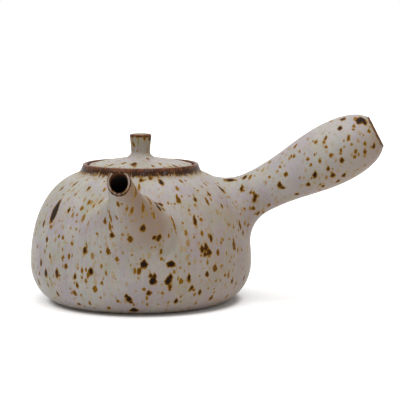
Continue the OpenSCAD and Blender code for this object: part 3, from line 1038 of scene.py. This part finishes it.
@dataclass
class GlazedPiece:
    """A fired piece of the pot: how it is finished and carried."""

    finishes: list[Material]

    def wear(self, piece: Piece, edges: list[WornEdge], toast_and_shade_share: float | Array = 0,
             thick: float | Array = 0) -> None:
        """Store how near each point lies to an edge that the glaze runs off, and how the glaze lies there.

        Args:
            piece: The glazed piece.
            edges: The edges on it.
            toast_and_shade_share: Share of warm dark brown at each point: painted shade, with a faint warm
                tone on the spout.
            thick: Share of pale glaze at each point: painted light.
        """
        points, _ = surface_of(piece)
        away = [distance_to(points, edge.points) for edge in edges]
        bare = np.max([1 - d / edge.bare for d, edge in zip(away, edges)], axis=0)
        thin = np.max([edge.share * (1 - d / edge.reach) for d, edge in zip(away, edges)], axis=0)
        store(piece, "worn", np.clip(bare, -1, 1))
        store(piece, "thin", np.clip(thin, 0, 1))
        store(piece, "toast_and_painted_shade", toast_and_shade_share * np.ones(len(points)))
        store(piece, "thick", thick * np.ones(len(points)))

    def facing_shade_way(self, piece: Piece) -> Array:
        """How squarely each point of a piece faces the way that gets painted shade, from 0 to 1."""
        _, normals = surface_of(piece)
        return np.clip(normals @ np.array(SpeckledGlaze.shade_way), 0, 1)

    def flow_round(self, piece: Piece, radius: float) -> None:
        """Store the glaze's run down a round piece: places round it, and the way down from the top.

        Args:
            piece: The glazed piece.
            radius: Radius at which the places round it are measured.
        """
        points, _ = surface_of(piece)
        a = np.arctan2(points[:, 1], points[:, 0])
        down = np.hypot(points[:, 0], points[:, 1]) - points[:, 2]
        store(piece, "flow", np.column_stack([radius * np.cos(a), radius * np.sin(a), down]))

    def dress(self, piece: Piece, node: str, body: str, slot: str = "glazed_stoneware") -> None:
        """Give a piece its finishes, its node to stand for and its body to ride on.

        Args:
            piece: The mesh object.
            node: The CAD node that it replaces.
            body: The CAD body that carries it.
            slot: Not used.
        """
        for material in self.finishes:
            piece.data.materials.append(material)
        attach(piece, body)
        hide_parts(node)
        LOG.info("%s stands for %s on %s: %d vertices", piece.name, node, body, len(piece.data.vertices))


@dataclass
class ThrownBody(GlazedPiece):
    """The low round body with its foot, shoulder, collar, lid seat and chamber, in mm."""

    body_d: float = 110
    belly_z: float = 19
    foot_d: float = 82
    foot_curl: float = 4
    belly_drop: float = 13
    belly_rise: float = 26
    shoulder_run: float = 14
    shoulder_slope: float = 14
    wall: float = 4
    floor_t: float = 5
    foot_ring_w: float = 9
    foot_recess: float = 1.2
    rim_z: float = 68.4
    rim_d: float = 57.8
    collar_h: float = 4.4
    collar_spread: float = 1.3
    lip_t: float = 2
    seat_depth: float = 3.6
    ledge_w: float = 2.9
    # Radius of the soft lip and of other small edges, and reach of the soft corner under the collar
    lip_r: float = 0.9
    edge_r: float = 0.5
    corner: float = 1.8
    spout_hole_d: float = 13
    spout_hole_z: float = 47
    # Points round the body, distance between rings up its outside, and its length below and above the belly
    around: int = 540
    ring_step: float = 0.65
    low_l: float = 27
    high_l: float = 62
    # Rings in the soft corner and in each half of the chamber, and steps that radii are looked up from
    corner_steps: int = 8
    chamber_steps: int = 24
    fine_steps: int = 2000
    # Widths of bare edge and reach of thin glaze, below the rim and above the foot
    rim_wear: float = 4.4
    rim_thin: float = 9
    # The foot's bare band is wider than bare clay alone, darkening the pot's bottom edge as painted shade
    foot_wear_and_shade: float = 3.4
    foot_thin: float = 6

    def __post_init__(self) -> None:
        """Work out the outline's curves from the sizes."""
        self.body_r = self.body_d / 2
        self.foot_r = self.foot_d / 2
        self.rim_r = self.rim_d / 2
        self.shoulder_z = self.rim_z - self.collar_h
        self.seat_z = self.rim_z - self.seat_depth
        self.gallery_r = self.rim_r - self.lip_t
        self.mouth_r = self.gallery_r - self.ledge_w
        slope = math.radians(self.shoulder_slope)
        collar = np.array([self.rim_r + self.collar_spread, self.shoulder_z])
        belly = np.array([self.body_r, self.belly_z])
        self.low = [np.array([self.foot_r, 0]), np.array([self.foot_r + self.foot_curl, 0]),
                    belly - (0, self.belly_drop), belly]
        self.high = [belly, belly + (0, self.belly_rise),
                     collar + self.shoulder_run * np.array([math.cos(slope), -math.sin(slope)]), collar]
        self.fine = bezier(self.high, steps(self.fine_steps))

    def radius(self, z: Array) -> Array:
        """Outer radius at heights above the belly."""
        return np.interp(z, self.fine[:, 1], self.fine[:, 0])

    def slope_way(self, z: Array) -> Array:
        """Way up the outside at heights above the belly, as radius and height."""
        return bezier_way(self.high, np.interp(z, self.fine[:, 1], steps(self.fine_steps)))

    def outer(self) -> Array:
        """Draw the outside from the foot to the start of the lip.

        Returns:
            Radius and height of each point.
        """
        low = bezier(self.low, steps(round(self.low_l / self.ring_step)))
        high = bezier(self.high, steps(round(self.high_l / self.ring_step)))[1:]
        corner = high[-1]
        top = np.array([self.rim_r, self.rim_z - self.lip_r])
        up = unit(top - corner)
        back = unit(high[-2] - corner)
        kept = high[np.linalg.norm(high - corner, axis=1) > self.corner]
        turn = [corner + self.corner * back, corner + self.corner / 3 * back,
                corner + self.corner / 3 * up, corner + self.corner * up]
        return np.concatenate([low, kept, bezier(turn, steps(self.corner_steps)),
                               line(turn[3], top, count=5)[1:]])

    def inner(self) -> Array:
        """Draw the chamber from under the mouth down to the floor.

        Returns:
            Radius and height of each point.
        """
        t = steps(self.chamber_steps)
        low_way, high_way = bezier_way(self.low, t), bezier_way(self.high, t)
        low = bezier(self.low, t) + mix(self.floor_t, self.wall, t)[:, None] * np.column_stack(
            [-low_way[:, 1], low_way[:, 0]])
        high = bezier(self.high, t) + self.wall * np.column_stack([-high_way[:, 1], high_way[:, 0]])
        both = np.concatenate([low, high[1:]])[::-1]
        return both[both[:, 0] > self.mouth_r + self.edge_r]

    def build(self) -> Piece:
        """Turn the body and pierce its spout hole.

        Returns:
            The body.
        """
        ring_in = self.foot_r - self.foot_ring_w
        recess_r = ring_in - self.foot_recess
        under = np.concatenate([
            line((0, self.foot_recess), (recess_r, self.foot_recess), count=5),
            line((recess_r, self.foot_recess), (ring_in, 0), count=2),
            line((ring_in, 0), (self.foot_r, 0), count=6)])
        lip_z = self.rim_z - self.lip_r
        outside = np.concatenate([
            self.outer(),
            arc((self.rim_r - self.lip_r, lip_z), self.lip_r, start=0, end=90, count=6),
            arc((self.gallery_r + self.lip_r, lip_z), self.lip_r, start=90, end=180, count=6)])
        chamber = self.inner()
        edge, ledge_in = self.edge_r, self.mouth_r + self.edge_r
        inside = np.concatenate([
            line((self.gallery_r, lip_z), (self.gallery_r, self.seat_z), count=5)[1:],
            line((self.gallery_r, self.seat_z), (ledge_in, self.seat_z), count=4),
            arc((ledge_in, self.seat_z - edge), edge, start=90, end=180, count=4),
            line((self.mouth_r, self.seat_z - 2 * edge), (self.mouth_r, chamber[0, 1]), count=4),
            chamber, line(chamber[-1], (0, self.floor_t), count=6)[1:], [[0, self.floor_t]]])
        skin = Skin()
        for outline, finish in ((under, Finish.IRON), (outside, Finish.GLAZE), (inside, Finish.IRON)):
            skin.add(turned(outline, self.around), finish)
        skin.wobble()
        piece = skin.piece("thrown_body", closed=False)
        # The drill starts well inside the wall and comes out well past it
        hole = np.array([0, -self.body_r + 2 * self.wall, self.spout_hole_z])
        cut_hole(piece, hole, hole - (0, 3 * self.wall, 0), self.spout_hole_d / 2)
        self.flow_round(piece, self.body_r)
        rim = hoop(self.rim_r - self.lip_t / 2, self.rim_z, count=180)
        foot = hoop(self.foot_r, 0, count=240)
        self.wear(piece, [WornEdge(rim, self.rim_wear, self.rim_thin),
                          WornEdge(foot, self.foot_wear_and_shade, self.foot_thin)])
        return piece


@dataclass
class Footprint:
    """An oval on the body's outside: azimuth in degrees, height, half width along the curve, half height."""

    body: ThrownBody
    azimuth: float
    z: float
    half_w: float
    half_h: float

    # Share of its size at which the ways inward from its edge are measured
    NEAR_EDGE: ClassVar[float] = 0.98

    def grown(self, by: float) -> "Footprint":
        """The same oval, wider and higher by a margin."""
        return Footprint(self.body, self.azimuth, self.z, self.half_w + by, self.half_h + by)

    def toward(self, other: "Footprint", share: float) -> "Footprint":
        """The oval a share of the way from this one to another."""
        return Footprint(self.body, self.azimuth, mix(self.z, other.z, share),
                         mix(self.half_w, other.half_w, share), mix(self.half_h, other.half_h, share))

    def azimuths(self, turns: Array) -> Array:
        """Azimuths in radians at turns round the oval."""
        return math.radians(self.azimuth) + self.half_w * np.sin(turns) / self.body.radius(self.z)

    def heights(self, turns: Array) -> Array:
        """Heights at turns round the oval."""
        return self.z + self.half_h * np.cos(turns)

    def points(self, turns: Array, off: float) -> Array:
        """Find points round the oval.

        Args:
            turns: Turns round it, in radians.
            off: Their distance off the body, in mm.

        Returns:
            The points in mm.
        """
        a, z = self.azimuths(turns), self.heights(turns)
        r = self.body.radius(z) + off
        return np.column_stack([r * np.cos(a), r * np.sin(a), z])

    def seat(self, inner: "Footprint", turns: Array, sink: float, count: int = 8) -> list[Array]:
        """Rings over the body from an inner oval out towards this one, sunk into it."""
        return [inner.toward(self, share).points(turns, -sink) for share in steps(count)[:-1]]

    def ways_in(self, turns: Array) -> Array:
        """Find the ways inward over the body from the oval's edge.

        Args:
            turns: Turns round the oval, in radians.

        Returns:
            Unit ways.
        """
        near = Footprint(self.body, self.azimuth, self.z, self.half_w * self.NEAR_EDGE,
                         self.half_h * self.NEAR_EDGE)
        return unit(near.points(turns, 0) - self.points(turns, 0))

    def ways_off(self, turns: Array) -> Array:
        """Unit ways off the body at the oval's edge."""
        a, way = self.azimuths(turns), self.body.slope_way(self.heights(turns))
        return np.column_stack([way[:, 1] * np.cos(a), way[:, 1] * np.sin(a), -way[:, 0]])


@dataclass
class BellSpout(GlazedPiece):
    """The spout: a low bell luted to the body, a short tube and a cut lip, in mm."""

    body: ThrownBody
    azimuth: float = -90
    bell_drop: float = 5.7
    bell_w: float = 47
    bell_h: float = 31.8
    bell_swell: float = 4.5
    bell_soften: float = 0.45
    bell_follow: float = 6
    bell_off: float = 0.3
    spout_out: float = 15
    tip_drop: float = 2.4
    tip_aside: float = 2
    tube_lean: float = 8.5
    tube_rise: float = 48
    tube_l: float = 19
    tube_w: float = 23
    tube_h: float = 19
    tube_tilt: float = 25
    tube_blend: float = 5
    spout_wall: float = 3
    tip_tilt: float = 6
    tip_w: float = 11.6
    tip_h: float = 12.1
    tip_wall: float = 1.5
    tip_taper: float = 1.24
    hole_rise: float = 4.6
    hole_margin: float = 0.7
    # How much the mouth narrows towards its lower lip, as a share of its width
    egg: float = 0.1
    # How far the smoothed joint reaches over the body, how far its edge sinks into it, where along the bell
    # it ends, and how strongly it follows body and bell, as a share of its width
    joint: float = 3.5
    sink: float = 0.15
    joint_end: float = 0.16
    joint_pull: float = 0.42
    # Points round the spout, and rings of its joint, bell, tube, lip, bore and the bore's root
    around: int = 144
    joint_steps: int = 12
    bell_steps: int = 36
    tube_steps: int = 34
    lip_steps: int = 8
    bore_steps: int = 20
    root_steps: int = 12
    # Widths of bare clay along the lip's outer and inner edge, and reach and share of the thin glaze there
    lip_wear: float = 0.42
    inner_wear: float = 0.52
    lip_thin: float = 26
    lip_share: float = 0.12
    # Wider bare clay on the top of the lip and on the lower lip, and the least upward or downward turn of
    # the places that have it
    top_wear: float = 1.0
    low_wear: float = 0.64
    top_part: float = 0.88
    low_part: float = 0.62
    # Rusty ring inside the mouth: its place along the bore, where 1 is the tip, and its width
    rust_at: float = 0.975
    rust_wear: float = 0.6
    # How much of the depth counts in the run of the glaze, so that streaks stay long down the front
    run_depth: float = 0.25
    # Shares of warm dark brown: painted shade on the side turned from the lamp, and a faint warm tone all
    # round; and how far both fade to the joint
    shaded_flank: float = 1.05
    all_round: float = 0.12
    flank_fade: float = 14

    def __post_init__(self) -> None:
        """Work out the footprints, the tip and the tube's way."""
        body = self.body
        self.turns = turns_round(self.around)
        bell_z = body.shoulder_z - self.bell_drop - self.bell_h / 2
        self.foot = Footprint(body, self.azimuth, bell_z, self.bell_w / 2, self.bell_h / 2)
        self.skirt = self.foot.grown(self.joint)
        hole_r = body.spout_hole_d / 2
        self.bore = Footprint(body, self.azimuth, bell_z + self.hole_rise, hole_r + self.spout_wall,
                              hole_r + self.hole_margin)
        self.tip = np.array([-self.tip_aside, -body.body_r - self.spout_out, body.rim_z - self.tip_drop])
        lean, rise = math.radians(self.tube_lean), math.radians(self.tube_rise)
        self.way = np.array([-math.sin(lean), -math.cos(lean) * math.cos(rise),
                             math.cos(lean) * math.sin(rise)])
        self.root_way = unit(self.foot.ways_in(self.turns) + self.way)

    def loop(self, behind: float, half_w: float, half_h: float, tilt: float) -> Array:
        """Draw a loop across the tube.

        Args:
            behind: Its distance behind the tip, in mm.
            half_w: Half its width in mm.
            half_h: Half its height in mm.
            tilt: Its backward tilt in degrees.

        Returns:
            The points in mm.
        """
        lean = math.radians(tilt)
        wide = half_w * np.sin(self.turns) * (1 - self.egg * (1 - np.cos(self.turns)) / 2)
        high = half_h * np.cos(self.turns)
        return self.tip - behind * self.way + np.outer(wide, (1, 0, 0)) + np.outer(
            high, (0, math.sin(lean), math.cos(lean)))

    def tip_loop(self, behind: float, thin: float, widen: float = 1) -> Array:
        """A loop near the tip, thinner by the wall and wider by a share."""
        half_w, half_h = (self.tip_w / 2 - thin) * widen, (self.tip_h / 2 - thin) * widen
        return self.loop(behind, half_w, half_h, self.tip_tilt)

    def root_loop(self, thin: float) -> Array:
        """The loop where the tube leaves the bell, thinner by the wall."""
        return self.loop(self.tube_l, self.tube_w / 2 - thin, self.tube_h / 2 - thin, self.tube_tilt)

    def bell(self) -> list[Array]:
        """Shape the bell from its edge to the tube.

        Returns:
            Four loops of control points.
        """
        edge, root = self.foot.points(self.turns, self.bell_off), self.root_loop(0)
        lift = self.bell_swell * (1 - self.bell_soften * ((1 - np.cos(self.turns)) / 2) ** 2)
        follow = self.bell_follow * self.foot.ways_in(self.turns)
        swell = lift[:, None] * self.foot.ways_off(self.turns)
        return [edge, edge + follow + swell, root - self.tube_blend * self.root_way, root]

    def tube(self, root_thin: float, tip_thin: float) -> list[Array]:
        """Control points of the tube from the bell to its tip, thinner by the wall at both ends."""
        root = self.root_loop(root_thin)
        return [root, root + self.tube_blend * self.root_way,
                self.tip_loop(self.tube_l / 2, tip_thin, self.tip_taper), self.tip_loop(0, tip_thin)]

    def joint_rings(self) -> Array:
        """Lead from the body into the bell, tangent to both.

        Returns:
            The rings.
        """
        edge = self.skirt.points(self.turns, -self.sink)
        there, way = (f(self.bell(), np.array([self.joint_end]))[0] for f in (bezier, bezier_way))
        pull = self.joint_pull * np.linalg.norm(there - edge, axis=1, keepdims=True)
        return bezier([edge, edge + pull * self.skirt.ways_in(self.turns), there - pull * way, there],
                      steps(self.joint_steps)[:-1])

    def lip(self) -> list[Array]:
        """Round the tip's wall over, from its outer to its inner edge.

        Returns:
            The loops.
        """
        half = self.tip_wall / 2
        angles = np.pi * steps(self.lip_steps)
        return [self.tip_loop(-half * math.sin(a), half - half * math.cos(a)) for a in angles]

    def build(self) -> Piece:
        """Skin the spout from its joint over the lip and back down its bore.

        Returns:
            The spout.
        """
        lip = self.lip()
        hole = self.bore.points(self.turns, 0)
        inner_root = self.root_loop(self.spout_wall)
        inner_tube = self.tube(self.spout_wall, self.tip_wall)
        bore = [hole, mix(hole, inner_root, 1 / 3), inner_root - self.spout_wall * self.root_way, inner_root]
        skin = Skin()
        skin.add(self.joint_rings(), Finish.GLAZE)
        skin.add(bezier(self.bell(), mix(self.joint_end, 1, steps(self.bell_steps)[:-1])), Finish.GLAZE)
        skin.add(bezier(self.tube(0, 0), steps(self.tube_steps)[:-1]), Finish.GLAZE)
        skin.add(lip, Finish.GLAZE)
        # The bore takes the near-black clay: painted shade inside the spout
        skin.add(bezier(inner_tube, steps(self.bore_steps)[::-1][1:]), Finish.BORE)
        skin.add(bezier(bore, steps(self.root_steps)[::-1][1:]), Finish.BORE)
        skin.add(self.skirt.seat(self.bore, self.turns, self.sink), Finish.IRON)
        skin.wobble()
        piece = skin.piece("bell_spout", closed=True)
        points, _ = surface_of(piece)
        store(piece, "flow", points * (1, self.run_depth, 1))
        up = np.cos(self.turns)
        crest = lip[self.lip_steps // 2]
        rust = bezier(inner_tube, np.array([self.rust_at]))[0]
        edge = partial(WornEdge, reach=self.lip_thin, share=self.lip_share)
        edges = [edge(rust, self.rust_wear), edge(lip[1], self.lip_wear), edge(lip[-1], self.inner_wear),
                 edge(crest[up > self.top_part], self.top_wear),
                 edge(lip[-1][-up > self.low_part], self.low_wear)]
        # Warm dark brown on the spout: painted shade on the side turned from the lamp, with a faint tone all
        # round, faded towards the joint
        fade = np.clip(distance_to(points, self.skirt.points(self.turns, 0)) / self.flank_fade, 0, 1)
        self.wear(piece, edges, toast_and_shade_share=fade * (self.all_round + self.shaded_flank * self.facing_shade_way(piece)))
        return piece


@dataclass
class ClubHandle(GlazedPiece):
    """The hollow handle: a root that flows into the body, and a grip that swells to an open end, in mm."""

    body: ThrownBody
    azimuth: float = 0
    root_drop: float = 2.5
    root_w: float = 36
    root_h: float = 33.5
    neck_out: float = 4.3
    neck_rise: float = 10.2
    neck_d: float = 21.8
    handle_slope: float = 27.5
    grip_l: float = 64
    grip_d: float = 30.8
    swell_l: float = 22
    neck_hold: float = 16.8
    swell_back: float = 14.7
    swell_front: float = 12
    end_d: float = 16.8
    end_run: float = 5
    end_turn: float = 53
    end_hole_d: float = 10
    handle_wall: float = 3.8
    root_flare: float = 9
    neck_flare: float = 6.3
    edge_r: float = 0.7
    # How far the smoothed joint reaches over the body, and how far its edge sinks into it
    joint: float = 2
    sink: float = 0.15
    # Points round the handle, and rings of its root and of the grip behind and before its swell
    around: int = 144
    root_steps: int = 36
    back_steps: int = 58
    front_steps: int = 40
    # Width of bare edge and reach of thin glaze along the open end
    end_wear: float = 0.65
    end_thin: float = 2.5
    # How far the glaze's run slants along the grip, and how much of the depth counts in it
    run_slant: float = 0.5
    run_depth: float = 0.3
    # Share of pale glaze on the grip, painted light where the grip stands nearer the lamp
    painted_light_share: float = 0.22
    # Greatest share of warm dark brown, painted shade on the side turned from the lamp
    shaded_flank: float = 0.75

    def __post_init__(self) -> None:
        """Work out the root, the handle's ways and the grip's outline."""
        self.turns = turns_round(self.around)
        self.neck_r, self.swell_r, self.end_r = self.neck_d / 2, self.grip_d / 2, self.end_d / 2
        root_z = self.body.shoulder_z - self.root_drop - self.root_h / 2
        self.root = Footprint(self.body, self.azimuth, root_z, self.root_w / 2, self.root_h / 2)
        slope, turn = math.radians(self.handle_slope), math.radians(self.end_turn)
        self.way = np.array([math.cos(slope), 0, math.sin(slope)])
        self.up = np.array([-math.sin(slope), 0, math.cos(slope)])
        self.neck = np.array([self.body.body_r + self.neck_out, 0, root_z + self.neck_rise])
        swell = np.array([self.grip_l - self.swell_l, self.swell_r])
        end = np.array([self.grip_l, self.end_r])
        self.back = [np.array([0, self.neck_r]), np.array([self.neck_hold, self.neck_r]),
                     swell - (self.swell_back, 0), swell]
        self.front = [swell, swell + (self.swell_front, 0),
                      end + self.end_run * np.array([-math.cos(turn), math.sin(turn)]), end]

    def loop(self, along: float, radius: float) -> Array:
        """A loop round the handle: its distance past the neck and its radius."""
        return self.neck + along * self.way + radius * (
            np.outer(np.cos(self.turns), self.up) + np.outer(np.sin(self.turns), (0, 1, 0)))

    def build(self) -> Piece:
        """Skin the handle from its root over the open end and back down its hollow.

        Returns:
            The handle.
        """
        skirt = self.root.grown(self.joint)
        edge = skirt.points(self.turns, -self.sink)
        root = [edge, edge + (self.root_flare + self.joint) * skirt.ways_in(self.turns),
                self.loop(-self.neck_flare, self.neck_r), self.loop(0, self.neck_r)]
        grip = np.concatenate([bezier(self.back, steps(self.back_steps)),
                               bezier(self.front, steps(self.front_steps))[1:]])
        hole_r, e = self.end_hole_d / 2, self.edge_r
        end = np.concatenate([arc((self.grip_l, self.end_r - e), e, start=60, end=0, count=4),
                              arc((self.grip_l, hole_r + e), e, start=0, end=-90, count=6)])
        # The hollow follows every second ring of the grip, back from behind the end wall
        deepest = self.grip_l - self.handle_wall
        hollow = [(x, max(r - self.handle_wall, hole_r)) for x, r in grip[::-2] if x < deepest]
        bore_r = self.neck_r - self.handle_wall
        bore = Footprint(self.body, self.azimuth, self.root.z, bore_r, bore_r)
        skin = Skin()
        skin.add(bezier(root, steps(self.root_steps)[:-1]), Finish.GLAZE)
        skin.add([self.loop(x, r) for x, r in np.concatenate([grip, end])], Finish.GLAZE)
        skin.add([self.loop(x, r) for x, r in hollow], Finish.IRON)
        skin.add(skirt.seat(bore, self.turns, self.sink), Finish.IRON)
        skin.wobble()
        piece = skin.piece("club_handle", closed=True)
        points, _ = surface_of(piece)
        along = (points - self.neck) @ self.way
        high = (points - self.neck) @ self.up
        run = [along + self.run_slant * high, self.run_depth * points[:, 1], high]
        store(piece, "flow", np.column_stack(run))
        edges = [WornEdge(self.loop(self.grip_l, self.end_r), self.end_wear, self.end_thin)]
        held = np.clip(along / self.neck_hold, 0, 1)
        # Along the grip: painted shade on the side turned from the lamp, and painted light in pale glaze
        toast_and_shade_share = self.shaded_flank * held * self.facing_shade_way(piece)
        self.wear(piece, edges, toast_and_shade_share, thick=self.painted_light_share * held)
        return piece


@dataclass
class InsetLid(GlazedPiece):
    """The lid: a low domed plate in the seat, with a steam vent, and the knob on it, in mm."""

    body: ThrownBody
    lid_clearance: float = 1.2
    lid_edge_t: float = 2.9
    lid_rise: float = 3.6
    lid_hollow: float = 2
    ring_t: float = 2.8
    ring_clearance: float = 0.6
    vent_d: float = 3
    vent_offset: float = 14
    knob_foot_d: float = 17.5
    knob_spread: float = 1.2
    knob_h: float = 12
    waist_z: float = 3.4
    waist_d: float = 9.3
    waist_hold: float = 2
    knob_top_d: float = 10.7
    knob_dish: float = 1
    edge_r: float = 0.7
    # Tool marks up the knob's stem: how many, and how deep
    ribs: int = 34
    rib_depth: float = 0.07
    # Points round plate and knob, and rings of the plate's dome and hollow and the knob's foot, stem and dish
    around: int = 240
    dome_steps: int = 28
    hollow_steps: int = 14
    foot_steps: int = 16
    stem_steps: int = 24
    dish_steps: int = 12
    # Widths of bare edge and reach of thin glaze, along the plate's edge and round the knob's top, and the
    # share of thin glaze at the knob's top
    edge_wear: float = 0.5
    edge_thin: float = 3
    knob_wear: float = 1.1
    knob_thin: float = 12.6
    knob_share: float = 1.1

    def __post_init__(self) -> None:
        """Work out the plate's dome and the knob's heights."""
        self.lid_r = self.body.gallery_r - self.lid_clearance
        self.ball_r = (self.lid_r**2 + self.lid_rise**2) / (2 * self.lid_rise)
        self.knob_foot_r = self.knob_foot_d / 2
        self.knob_z = float(self.top(self.knob_foot_r))

    def top(self, r: Array) -> Array:
        """Height of the plate's dome at a radius."""
        return (self.body.seat_z + self.lid_edge_t + self.lid_rise - self.ball_r
                + np.sqrt(self.ball_r**2 - r**2))

    def plate(self) -> Piece:
        """Turn the plate and pierce its vent.

        Returns:
            The plate.
        """
        seat, e = self.body.seat_z, self.edge_r
        last = self.lid_r - e
        edge_z = self.top(last) - e
        ring_in = self.body.mouth_r - self.ring_clearance - self.ring_t
        spread = mix(self.knob_foot_r, last, steps(self.dome_steps))
        lean = 90 - math.degrees(math.asin(last / self.ball_r))
        over = np.concatenate([
            line((0, self.knob_z), (self.knob_foot_r, self.knob_z), count=6),
            np.column_stack([spread, self.top(spread)])[:-1],
            arc((last, edge_z), e, start=lean, end=0, count=6)])
        inward = steps(self.hollow_steps)
        under = np.concatenate([
            line((self.lid_r, edge_z), (self.lid_r, seat), count=4)[1:],
            line((self.lid_r, seat), (ring_in, seat), count=5),
            np.column_stack([ring_in * (1 - inward), seat + self.lid_hollow * np.sin(np.pi / 2 * inward)])])
        skin = Skin()
        skin.add(turned(over, self.around), Finish.GLAZE)
        skin.add(turned(under, self.around), Finish.IRON)
        piece = skin.piece("lid_plate", closed=False)
        # The drill starts well under the plate and comes out well over it
        vent = np.array([0, self.vent_offset, seat - self.lid_edge_t])
        cut_hole(piece, vent, vent + (0, 0, 4 * self.lid_edge_t), self.vent_d / 2)
        self.flow_round(piece, self.lid_r)
        self.wear(piece, [WornEdge(hoop(self.lid_r, edge_z, count=120), self.edge_wear, self.edge_thin)])
        return piece

    def knob(self) -> Piece:
        """Turn the knob, with fine upright tool marks on its stem.

        Returns:
            The knob.
        """
        z, e = self.knob_z, self.edge_r
        top_r, top_z = self.knob_top_d / 2, z + self.knob_h
        waist = np.array([self.waist_d / 2, z + self.waist_z])
        foot = [np.array([self.knob_foot_r, z]), np.array([self.knob_foot_r - self.knob_spread, z]),
                waist - (0, self.waist_hold), waist]
        stem = [waist, waist + (0, self.waist_hold),
                np.array([top_r, top_z - 2 * e]), np.array([top_r, top_z - e])]
        inward = steps(self.dish_steps)[1:]
        dish = top_z - self.knob_dish * np.sin(np.pi / 2 * inward)
        outline = np.concatenate([
            [[0, z]], bezier(foot, steps(self.foot_steps)), bezier(stem, steps(self.stem_steps))[1:-1],
            arc((top_r - e, top_z - e), e, start=0, end=90, count=6),
            np.column_stack([(top_r - e) * (1 - inward), dish])])
        rings = turned(outline, self.around)
        marks = 1 + (self.rib_depth / top_r * np.sin(self.ribs * turns_round(self.around)))[:, None]
        for ring in rings[self.foot_steps + 1 :][: self.stem_steps + 1]:
            ring[:, :2] *= marks
        skin = Skin()
        skin.add(rings, Finish.GLAZE)
        piece = skin.piece("lid_grip", closed=False)
        self.flow_round(piece, top_r)
        edge = hoop(top_r - e / 2, top_z - e / 2, count=90)
        self.wear(piece, [WornEdge(edge, self.knob_wear, self.knob_thin, self.knob_share)])
        return piece


@dataclass(frozen=True)
class Studio:
    """A white table in soft light from above: its floor, its sky and its lamp."""

    # The floor's half width and its squares on a side, and the lamp's side, place and aim, in metres
    floor_half: float = 4
    squares: int = 8
    lamp_side: float = 0.9
    lamp_at: tuple[float, float, float] = (-0.04, -0.2, 0.98)
    aim: tuple[float, float, float] = (0, 0, 0.04)
    lamp_watts: float = 7.2
    sky: str = "#ffffff"
    sky_strength: float = 0.402
    paper: str = "#f4f4f4"
    # Middle of the pot's shade on the paper, in metres
    shade_at: tuple[float, float, float] = (0.002, -0.001, 0)
    # White that the background adds to the paper by its distance in metres from there: from under the pot
    # to beside it, and more of it far off
    near_white: Band = Band(0.0452, 0.0505, most=0.45, least=0.03)
    far_white: Band = Band(0.1, 0.7, most=0.5)

    def floor(self) -> None:
        """Make the table's white top, which whitens away from the pot and keeps its shadow."""
        # Matt white paper, rolled smooth: the eye sees an even pale sheet and the pot's soft shade
        material, tree = new_material("matt_white_paper")
        add = partial(add_node, tree)
        where = add("TexCoord").outputs["Object"]
        away = add("VectorMath", {0: where, 1: self.shade_at}, operation="DISTANCE")
        near = add("MapRange", self.near_white.over(away), **SOFT)
        far = add("MapRange", self.far_white.over(away))
        level = add("Math", {0: near, 1: far}, operation="ADD")
        lift = add("Math", {0: background_rays(tree), 1: level}, operation="MULTIPLY")
        matt = add("BsdfDiffuse", {"Color": hex_linear(self.paper)})
        glow = add("Emission", {"Color": hex_linear(self.sky), "Strength": lift})
        add("OutputMaterial", {"Surface": add("AddShader", {0: matt, 1: glow})})
        mesh = bpy.data.meshes.new("white_table")
        shaped = bmesh.new()
        bmesh.ops.create_grid(shaped, x_segments=self.squares, y_segments=self.squares, size=self.floor_half)
        shaped.to_mesh(mesh)
        shaped.free()
        mesh.materials.append(material)
        new_object("white_table", mesh)

    def world(self) -> None:
        """Make the even sky, which the background shows as white."""
        world = bpy.data.worlds.new("studio_sky")
        bpy.context.scene.world = world
        world.use_nodes = True
        tree = world.node_tree
        tree.nodes.clear()
        level = add_node(tree, "MapRange", {"Value": background_rays(tree), "To Min": self.sky_strength})
        sky = add_node(tree, "Background", {"Color": hex_linear(self.sky), "Strength": level})
        add_node(tree, "OutputWorld", {"Surface": sky})

    def lamp(self) -> None:
        """Hang the large soft lamp above, a little to the left and in front."""
        light = bpy.data.lights.new("overhead_softbox", "AREA")
        light.shape = "SQUARE"
        light.size = self.lamp_side
        light.energy = self.lamp_watts
        lamp = new_object("overhead_softbox", light)
        lamp.location = self.lamp_at
        lamp.rotation_mode = "QUATERNION"
        lamp.rotation_quaternion = (Vector(self.aim) - Vector(self.lamp_at)).to_track_quat("-Z", "Y")


def paint_cad_node(name: str, material: Material) -> None:
    """Give a CAD node that stays in view a better material.

    Args:
        name: The node's name.
        material: Its new material.
    """
    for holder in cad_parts[name].material_slots:
        holder.material = material
    LOG.info("%s keeps its CAD shape in %s", name, material.name)


def main() -> None:
    """Build the pieces in order, glaze them and set up the studio."""
    logging.basicConfig(level=logging.INFO, format="%(name)s: %(message)s")
    bpy.context.scene.view_settings.view_transform = "Standard"
    iron = IronClay().build()
    # The spout's bore is painted nearly black as its shade, darker than the iron clay, with rust at its mouth
    bore_shade_clay = IronClay(name="bore_painted_shade_clay", brown="#120a06", dark="#070403", fox="#4f270e").build()
    finishes = [SpeckledGlaze().build(), iron, bore_shade_clay]
    camera = PhotoCamera()
    camera.build()

    body = ThrownBody(finishes)
    spout = BellSpout(finishes, body)
    handle = ClubHandle(finishes, body)
    lid = InsetLid(finishes, body)
    pieces = [body.build(), spout.build(), handle.build(), lid.plate(), lid.knob()]

    spots = SpotMap(camera)
    spots.read_photo(pieces)
    for piece in pieces:
        spots.fill_unseen(piece)
        spots.paint(piece)

    homes = ((body, "pot_body", "pot"), (spout, "spout", "pot"), (handle, "side_handle", "pot"),
             (lid, "lid_disc", "lid"), (lid, "lid_knob", "lid"))
    for piece, (maker, node, carrier) in zip(pieces, homes):
        maker.dress(piece, node, carrier)
    for node in ("strainer_dome", "lid_ring"):
        paint_cad_node(node, iron)

    studio = Studio()
    studio.floor()
    studio.world()
    studio.lamp()


if __name__ == "__main__":
    main()
